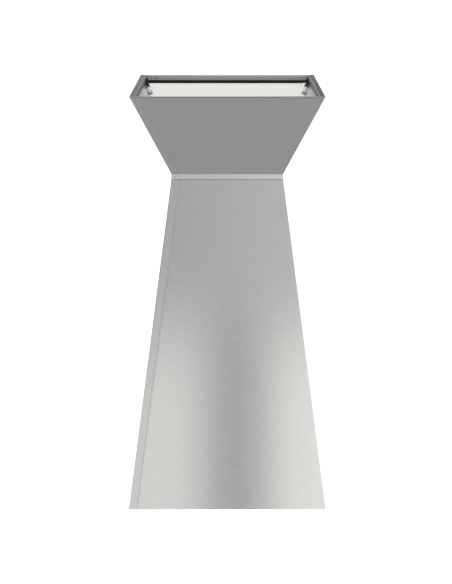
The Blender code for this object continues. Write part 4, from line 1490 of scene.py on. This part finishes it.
@dataclass
class Controls:
    """Four turned steel buttons in the black glass strip, each with a printed mark."""

    finishes: Finishes
    y: float = -0.245
    pitch: float = 0.045
    radius: float = 0.008
    cap_z: float = -1.2461
    length: float = 0.0115
    dish: float = 0.0005
    face_radius: float = 0.0068
    mark_half: float = 0.0034
    stroke_half: float = 0.0003
    ink_above: float = 0.00003
    ink_below: float = 0.00008

    def dished(self, r: Array) -> Array:
        """Rise of the face at a distance from the button's axis: dish times 1 - (r / face radius) squared."""
        return self.dish * (1 - (r / self.face_radius) ** 2)

    def build(self) -> None:
        """Makes each button and its mark."""
        for number, mark in enumerate(Mark):
            x = (number - 1.5) * self.pitch
            self.build_button(mark, x)
            self.build_mark(mark, x)

    def build_button(self, mark: Mark, x: float) -> None:
        """A turned button: a chamfered edge round a face that is dished as a parabola.

        Args:
            mark: which button.
            x: its middle.
        """
        r = np.linspace(0, self.face_radius, 14)
        face = list(zip(r, self.dished(r)))
        chamfer = [(0.0071, 0.0), (0.0074, 0.0001), (self.radius, 0.0007)]
        back = [(self.radius, self.length - 0.0004), (self.radius - 0.0004, self.length), (0, self.length)]
        at, word = (x, self.y, self.cap_z), mark.value
        shape = turned(upright(at), face + chamfer + back, 56)
        steel = TurnedSteel(f"stainless_303_turned_{word}", at).make()
        make_piece(f"push_{word}", [shape], [steel], f"{word}_key", [f"button_{word}"])

    def build_mark(self, mark: Mark, x: float) -> None:
        """The mark's strokes as thin raised ink: each point of a line is widened along the line's normal, and
        lies on the dished face. From under the hood the marks read the right way, with their tops to the
        back.

        Args:
            mark: which button.
            x: its middle.
        """
        shapes = []
        for stroke in mark.strokes():
            count = max(len(stroke), 12)
            share = np.linspace(0, 1, count)
            known = np.linspace(0, 1, len(stroke))
            line = np.column_stack([np.interp(share, known, stroke[:, i]) for i in (0, 1)]) * self.mark_half
            ahead = np.gradient(line, axis=0)
            ahead /= np.linalg.norm(ahead, axis=1, keepdims=True)
            across = np.column_stack([-ahead[:, 1], ahead[:, 0]]) * self.stroke_half
            left, right = line + across, line - across
            above, below = self.ink_above, -self.ink_below
            rows = []
            for xy, rise in ((left, above), (left, below), (right, below), (right, above)):
                z = self.cap_z + self.dished(np.linalg.norm(xy, axis=1)) + rise
                rows.append(np.column_stack([x - xy[:, 0], self.y + xy[:, 1], z]))
            shapes.append(Patch(capped(np.stack(rows, axis=1)), close_cols=True))
        name = f"mark_{mark.value}"
        make_piece(name, shapes, [self.finishes.ink], f"{mark.value}_key")


# The studio.

# Brightness of the room that the steel mirrors, by height above the horizon in degrees.
ROOM_TONES = (
    (-90, 0.46),
    (-55, 0.48),
    (-24, 0.85),
    (-12, 1.10),
    (-4, 1.08),
    (-1.5, 0.88),
    (1, 0.68),
    (8, 0.66),
    (24, 0.90),
    (38, 1.48),
    (60, 1.48),
    (90, 1.30),
)

# Cards: name, tone, middle, turn in degrees, width, height.
CARDS = (
    ("back_flag_left", 0.20, (-2.0, 4.0, 1.25), (90, 0, 0), 4.0, 1.9),
    ("back_flag_right", 0.12, (2.0, 4.0, 1.25), (90, 0, 0), 4.0, 1.9),
    ("back_flag_high", 0.36, (0.0, 4.0, 3.5), (90, 0, 0), 8.0, 2.6),
)

# Lights: name, place, tilt about X in degrees, width, depth, power in watts.
LIGHTS = (
    ("front_softbox", (0.0, -3.2, 2.6), 48, 3.0, 2.0, 46.0),
    ("back_softbox", (0.0, 3.4, 2.4), -52, 3.0, 2.0, 30.0),
    ("low_softbox", (0.0, -0.4, -3.1), 176, 2.4, 2.4, 20.0),
)

# White paint and paper are slightly warm: their light in red, green and blue.
WARM_WHITE = (1.0, 0.998, 0.985)


@dataclass
class Studio:
    """A white room. The camera sees plain white and a pale floor. The steel sees a room graded by height, a
    large front wall with soft tones and dim grey cards behind the hood."""

    floor_z: float = -3.4
    floor_size: float = 160.0
    floor_glow: float = 0.32
    clouds_per_metre: float = 0.3
    backdrop: float = 1.02
    room_strength: float = 2.0
    camera_at: tuple[float, float, float] = (-0.0038, -4.125, 0.4973)
    camera_down: float = 15.496
    lens: float = 84.15
    sensor: float = 36.0
    wall_y: float = -4.5
    wall_z: float = -1.5
    wall_size: float = 5.0
    bright_tone: float = 1.17
    dim_tone: float = 0.69
    tone_slope: float = 0.17
    dim_from: float = 0.68
    dim_soft: float = 0.42
    stand_left: float = -0.13
    stand_right: float = 0.25
    stand_soft: float = 0.16
    stand_depth: float = 1.38

    def build(self) -> None:
        """Sets the colour transform, then makes the camera, surroundings, floor, lights and cards."""
        bpy.context.scene.view_settings.view_transform = "Standard"
        self.build_camera()
        self.build_surroundings()
        self.build_floor()
        self.build_lights()
        self.build_cards()

    def build_camera(self) -> None:
        """A level camera, tilted down a little, a few metres in front."""
        data = bpy.data.cameras.new("studio_camera")
        data.lens = self.lens
        data.sensor_width = self.sensor
        camera = bpy.data.objects.new("studio_camera", data)
        camera.location = self.camera_at
        camera.rotation_euler = Euler((math.radians(90 - self.camera_down), 0, 0))
        bpy.context.scene.collection.objects.link(camera)
        bpy.context.scene.camera = camera

    def build_surroundings(self) -> None:
        """A room whose brightness changes with height alone, from the floor up to a large ceiling light."""
        world = bpy.data.worlds.new("studio_room")
        world.use_nodes = True
        tree = world.node_tree
        tree.nodes.clear()
        way = add_node(tree, "ShaderNodeTexCoord").outputs["Generated"]
        up = add_node(tree, "ShaderNodeSeparateXYZ", {"Vector": way}).outputs["Z"]
        angle = add_node(tree, "ShaderNodeMath", {0: up}, operation="ARCSINE").outputs["Value"]
        inputs = {"Value": angle, "From Min": -math.pi / 2, "From Max": math.pi / 2}
        share = add_node(tree, "ShaderNodeMapRange", inputs).outputs["Result"]
        stops = []
        for degrees, tone in ROOM_TONES:
            colour = [tone / self.room_strength * channel for channel in WARM_WHITE]
            stops.append(((degrees + 90) / 180, (*colour, 1.0)))
        graded = add_node(tree, "ShaderNodeValToRGB", {"Fac": share}, stops).outputs["Color"]
        room = add_node(tree, "ShaderNodeBackground", {"Color": graded, "Strength": self.room_strength})
        white = add_node(tree, "ShaderNodeBackground", {"Color": (1, 1, 1, 1), "Strength": self.backdrop})
        seen = add_node(tree, "ShaderNodeLightPath").outputs["Is Camera Ray"]
        both = {0: seen, 1: room.outputs["Background"], 2: white.outputs["Background"]}
        mixed = add_node(tree, "ShaderNodeMixShader", both).outputs["Shader"]
        add_node(tree, "ShaderNodeOutputWorld", {"Surface": mixed})
        bpy.context.scene.world = world

    def build_floor(self) -> None:
        """A wide pale floor that the steel doesn't mirror. From below it is clear, so that the underside
        shows."""
        material, tree = new_material("studio_floor_painted")
        at = object_pattern(tree, [self.clouds_per_metre] * 3)
        cloud = add_node(tree, "ShaderNodeTexNoise", {"Vector": at}).outputs["Fac"]
        stops = ((0.3, linear("F8F8F7")), (0.7, linear("FAFAFA")))
        colour = add_node(tree, "ShaderNodeValToRGB", {"Fac": cloud}, stops).outputs["Color"]
        paint = add_node(tree, "ShaderNodeBsdfPrincipled", {"Base Color": colour, "Roughness": 0.9})
        glow = add_node(tree, "ShaderNodeEmission", {"Color": (1, 1, 1, 1), "Strength": self.floor_glow})
        both = {0: paint.outputs["BSDF"], 1: glow.outputs["Emission"]}
        lit = add_node(tree, "ShaderNodeAddShader", both).outputs["Shader"]
        clear = add_node(tree, "ShaderNodeBsdfTransparent").outputs["BSDF"]
        under = add_node(tree, "ShaderNodeNewGeometry").outputs["Backfacing"]
        surface = add_node(tree, "ShaderNodeMixShader", {0: under, 1: lit, 2: clear}).outputs["Shader"]
        add_node(tree, "ShaderNodeOutputMaterial", {"Surface": surface})
        size = self.floor_size
        floor = self.card("studio_floor", material, (0, 0, self.floor_z), (0, 0, 0), size, size)
        floor.visible_camera = True
        floor.visible_diffuse = True
        floor.visible_glossy = False
        floor.visible_shadow = True

    def build_lights(self) -> None:
        """A broad soft light high in front, a weaker one behind, and one low for the underside."""
        for name, at, tilt, width, depth, power in LIGHTS:
            data = bpy.data.lights.new(name, "AREA")
            data.shape = "RECTANGLE"
            data.size, data.size_y = width, depth
            data.energy = power
            light = bpy.data.objects.new(name, data)
            light.location = at
            light.rotation_euler = Euler((math.radians(tilt), 0, 0))
            light.visible_camera = False
            light.visible_glossy = False
            bpy.context.scene.collection.objects.link(light)

    def build_cards(self) -> None:
        """The front wall, and grey cards behind the hood and above it. Only the steel mirrors them."""
        middle, size = (0, self.wall_y, self.wall_z), self.wall_size
        self.card("front_wall", self.wall_paper(), middle, (90, 0, 0), size, size)
        for name, tone, at, turn, width, height in CARDS:
            material, tree = new_material(f"{name}_paper")
            glow = {"Color": (tone, tone, tone * WARM_WHITE[2], 1), "Strength": 1.0}
            shine = add_node(tree, "ShaderNodeEmission", glow).outputs["Emission"]
            add_node(tree, "ShaderNodeOutputMaterial", {"Surface": shine})
            self.card(name, material, at, turn, width, height)

    def wall_paper(self) -> Material:
        """The lit front wall. It is bright low down and dim above a soft line, with a dim upright stand in
        the middle, and slightly brighter to the right. The dim share is the stand's, going over to 1 above
        the line.

        Returns:
            The material.
        """
        material, tree = new_material("front_wall_paper")
        place = add_node(tree, "ShaderNodeTexCoord").outputs["Object"]
        parts = add_node(tree, "ShaderNodeSeparateXYZ", {"Vector": place})
        x, y = parts.outputs["X"], parts.outputs["Y"]
        above = self.soft_step(tree, y, self.dim_from, self.dim_soft)
        right_of = self.soft_step(tree, x, self.stand_left, self.stand_soft)
        left_of = self.soft_step(tree, x, self.stand_right, -self.stand_soft)
        stand = add_node(tree, "ShaderNodeMath", {0: right_of, 1: left_of}, operation="MULTIPLY")
        depth = {0: stand.outputs["Value"], 1: self.stand_depth}
        deep = add_node(tree, "ShaderNodeMath", depth, operation="MULTIPLY").outputs["Value"]
        dim = add_node(tree, "ShaderNodeMix", {"Factor": above, "A": deep, "B": 1.0}).outputs["Result"]
        levels = {"Value": dim, "From Max": 1.0, "To Min": self.bright_tone, "To Max": self.dim_tone}
        level = add_node(tree, "ShaderNodeMapRange", levels, clamp=False).outputs["Result"]
        slope = {0: x, 1: self.tone_slope, 2: level}
        tone = add_node(tree, "ShaderNodeMath", slope, operation="MULTIPLY_ADD").outputs["Value"]
        glow = {"Color": (*WARM_WHITE, 1), "Strength": tone}
        shine = add_node(tree, "ShaderNodeEmission", glow).outputs["Emission"]
        add_node(tree, "ShaderNodeOutputMaterial", {"Surface": shine})
        return material

    def soft_step(self, tree: Tree, value: Socket, at: float, soft: float) -> Socket:
        """A smooth rise from 0 to 1 about a place: 3 t squared - 2 t cubed, over the range at - soft to at +
        soft.

        Args:
            tree: the material's tree.
            value: what the step follows.
            at: the middle of the step.
            soft: half its length; a negative one makes a fall.

        Returns:
            The step's output.
        """
        inputs = {"Value": value, "From Min": at - soft, "From Max": at + soft}
        settings = {"interpolation_type": "SMOOTHSTEP"}
        return add_node(tree, "ShaderNodeMapRange", inputs, **settings).outputs["Result"]

    def card(
        self,
        name: str,
        material: Material,
        at: Sequence[float],
        turn: Sequence[float],
        width: float,
        height: float,
    ) -> Object:
        """A flat card that belongs to the stage and is seen in reflections only.

        Args:
            name: the card's name.
            material: its finish.
            at: its middle.
            turn: its angles about X, Y and Z, in degrees.
            width: its width.
            height: its height.

        Returns:
            The card.
        """
        x, y = width / 2, height / 2
        mesh = bpy.data.meshes.new(name)
        mesh.from_pydata([(-x, -y, 0), (x, -y, 0), (x, y, 0), (-x, y, 0)], [], [(0, 1, 2, 3)])
        mesh.materials.append(material)
        card = bpy.data.objects.new(name, mesh)
        card.location = at
        card.rotation_euler = Euler([math.radians(v) for v in turn])
        card.visible_camera = False
        card.visible_diffuse = False
        card.visible_shadow = False
        bpy.context.scene.collection.objects.link(card)
        return card


def main() -> None:
    """Builds everything in order."""
    logging.basicConfig(level=logging.INFO, format="%(name)s: %(message)s")
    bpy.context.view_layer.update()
    Studio().build()
    finishes = Finishes()
    finishes.dress_frame()
    shell = BodyShell(finishes)
    others = (Hangers, Chassis, Duct, Blower, Wiring, FilterPlate, Lamps, Controls)
    for assembly in (shell, CeilingRim(finishes, shell), *(kind(finishes) for kind in others)):
        assembly.build()
        LOG.info("built %s", type(assembly).__name__)


if __name__ == "__main__":
    main()
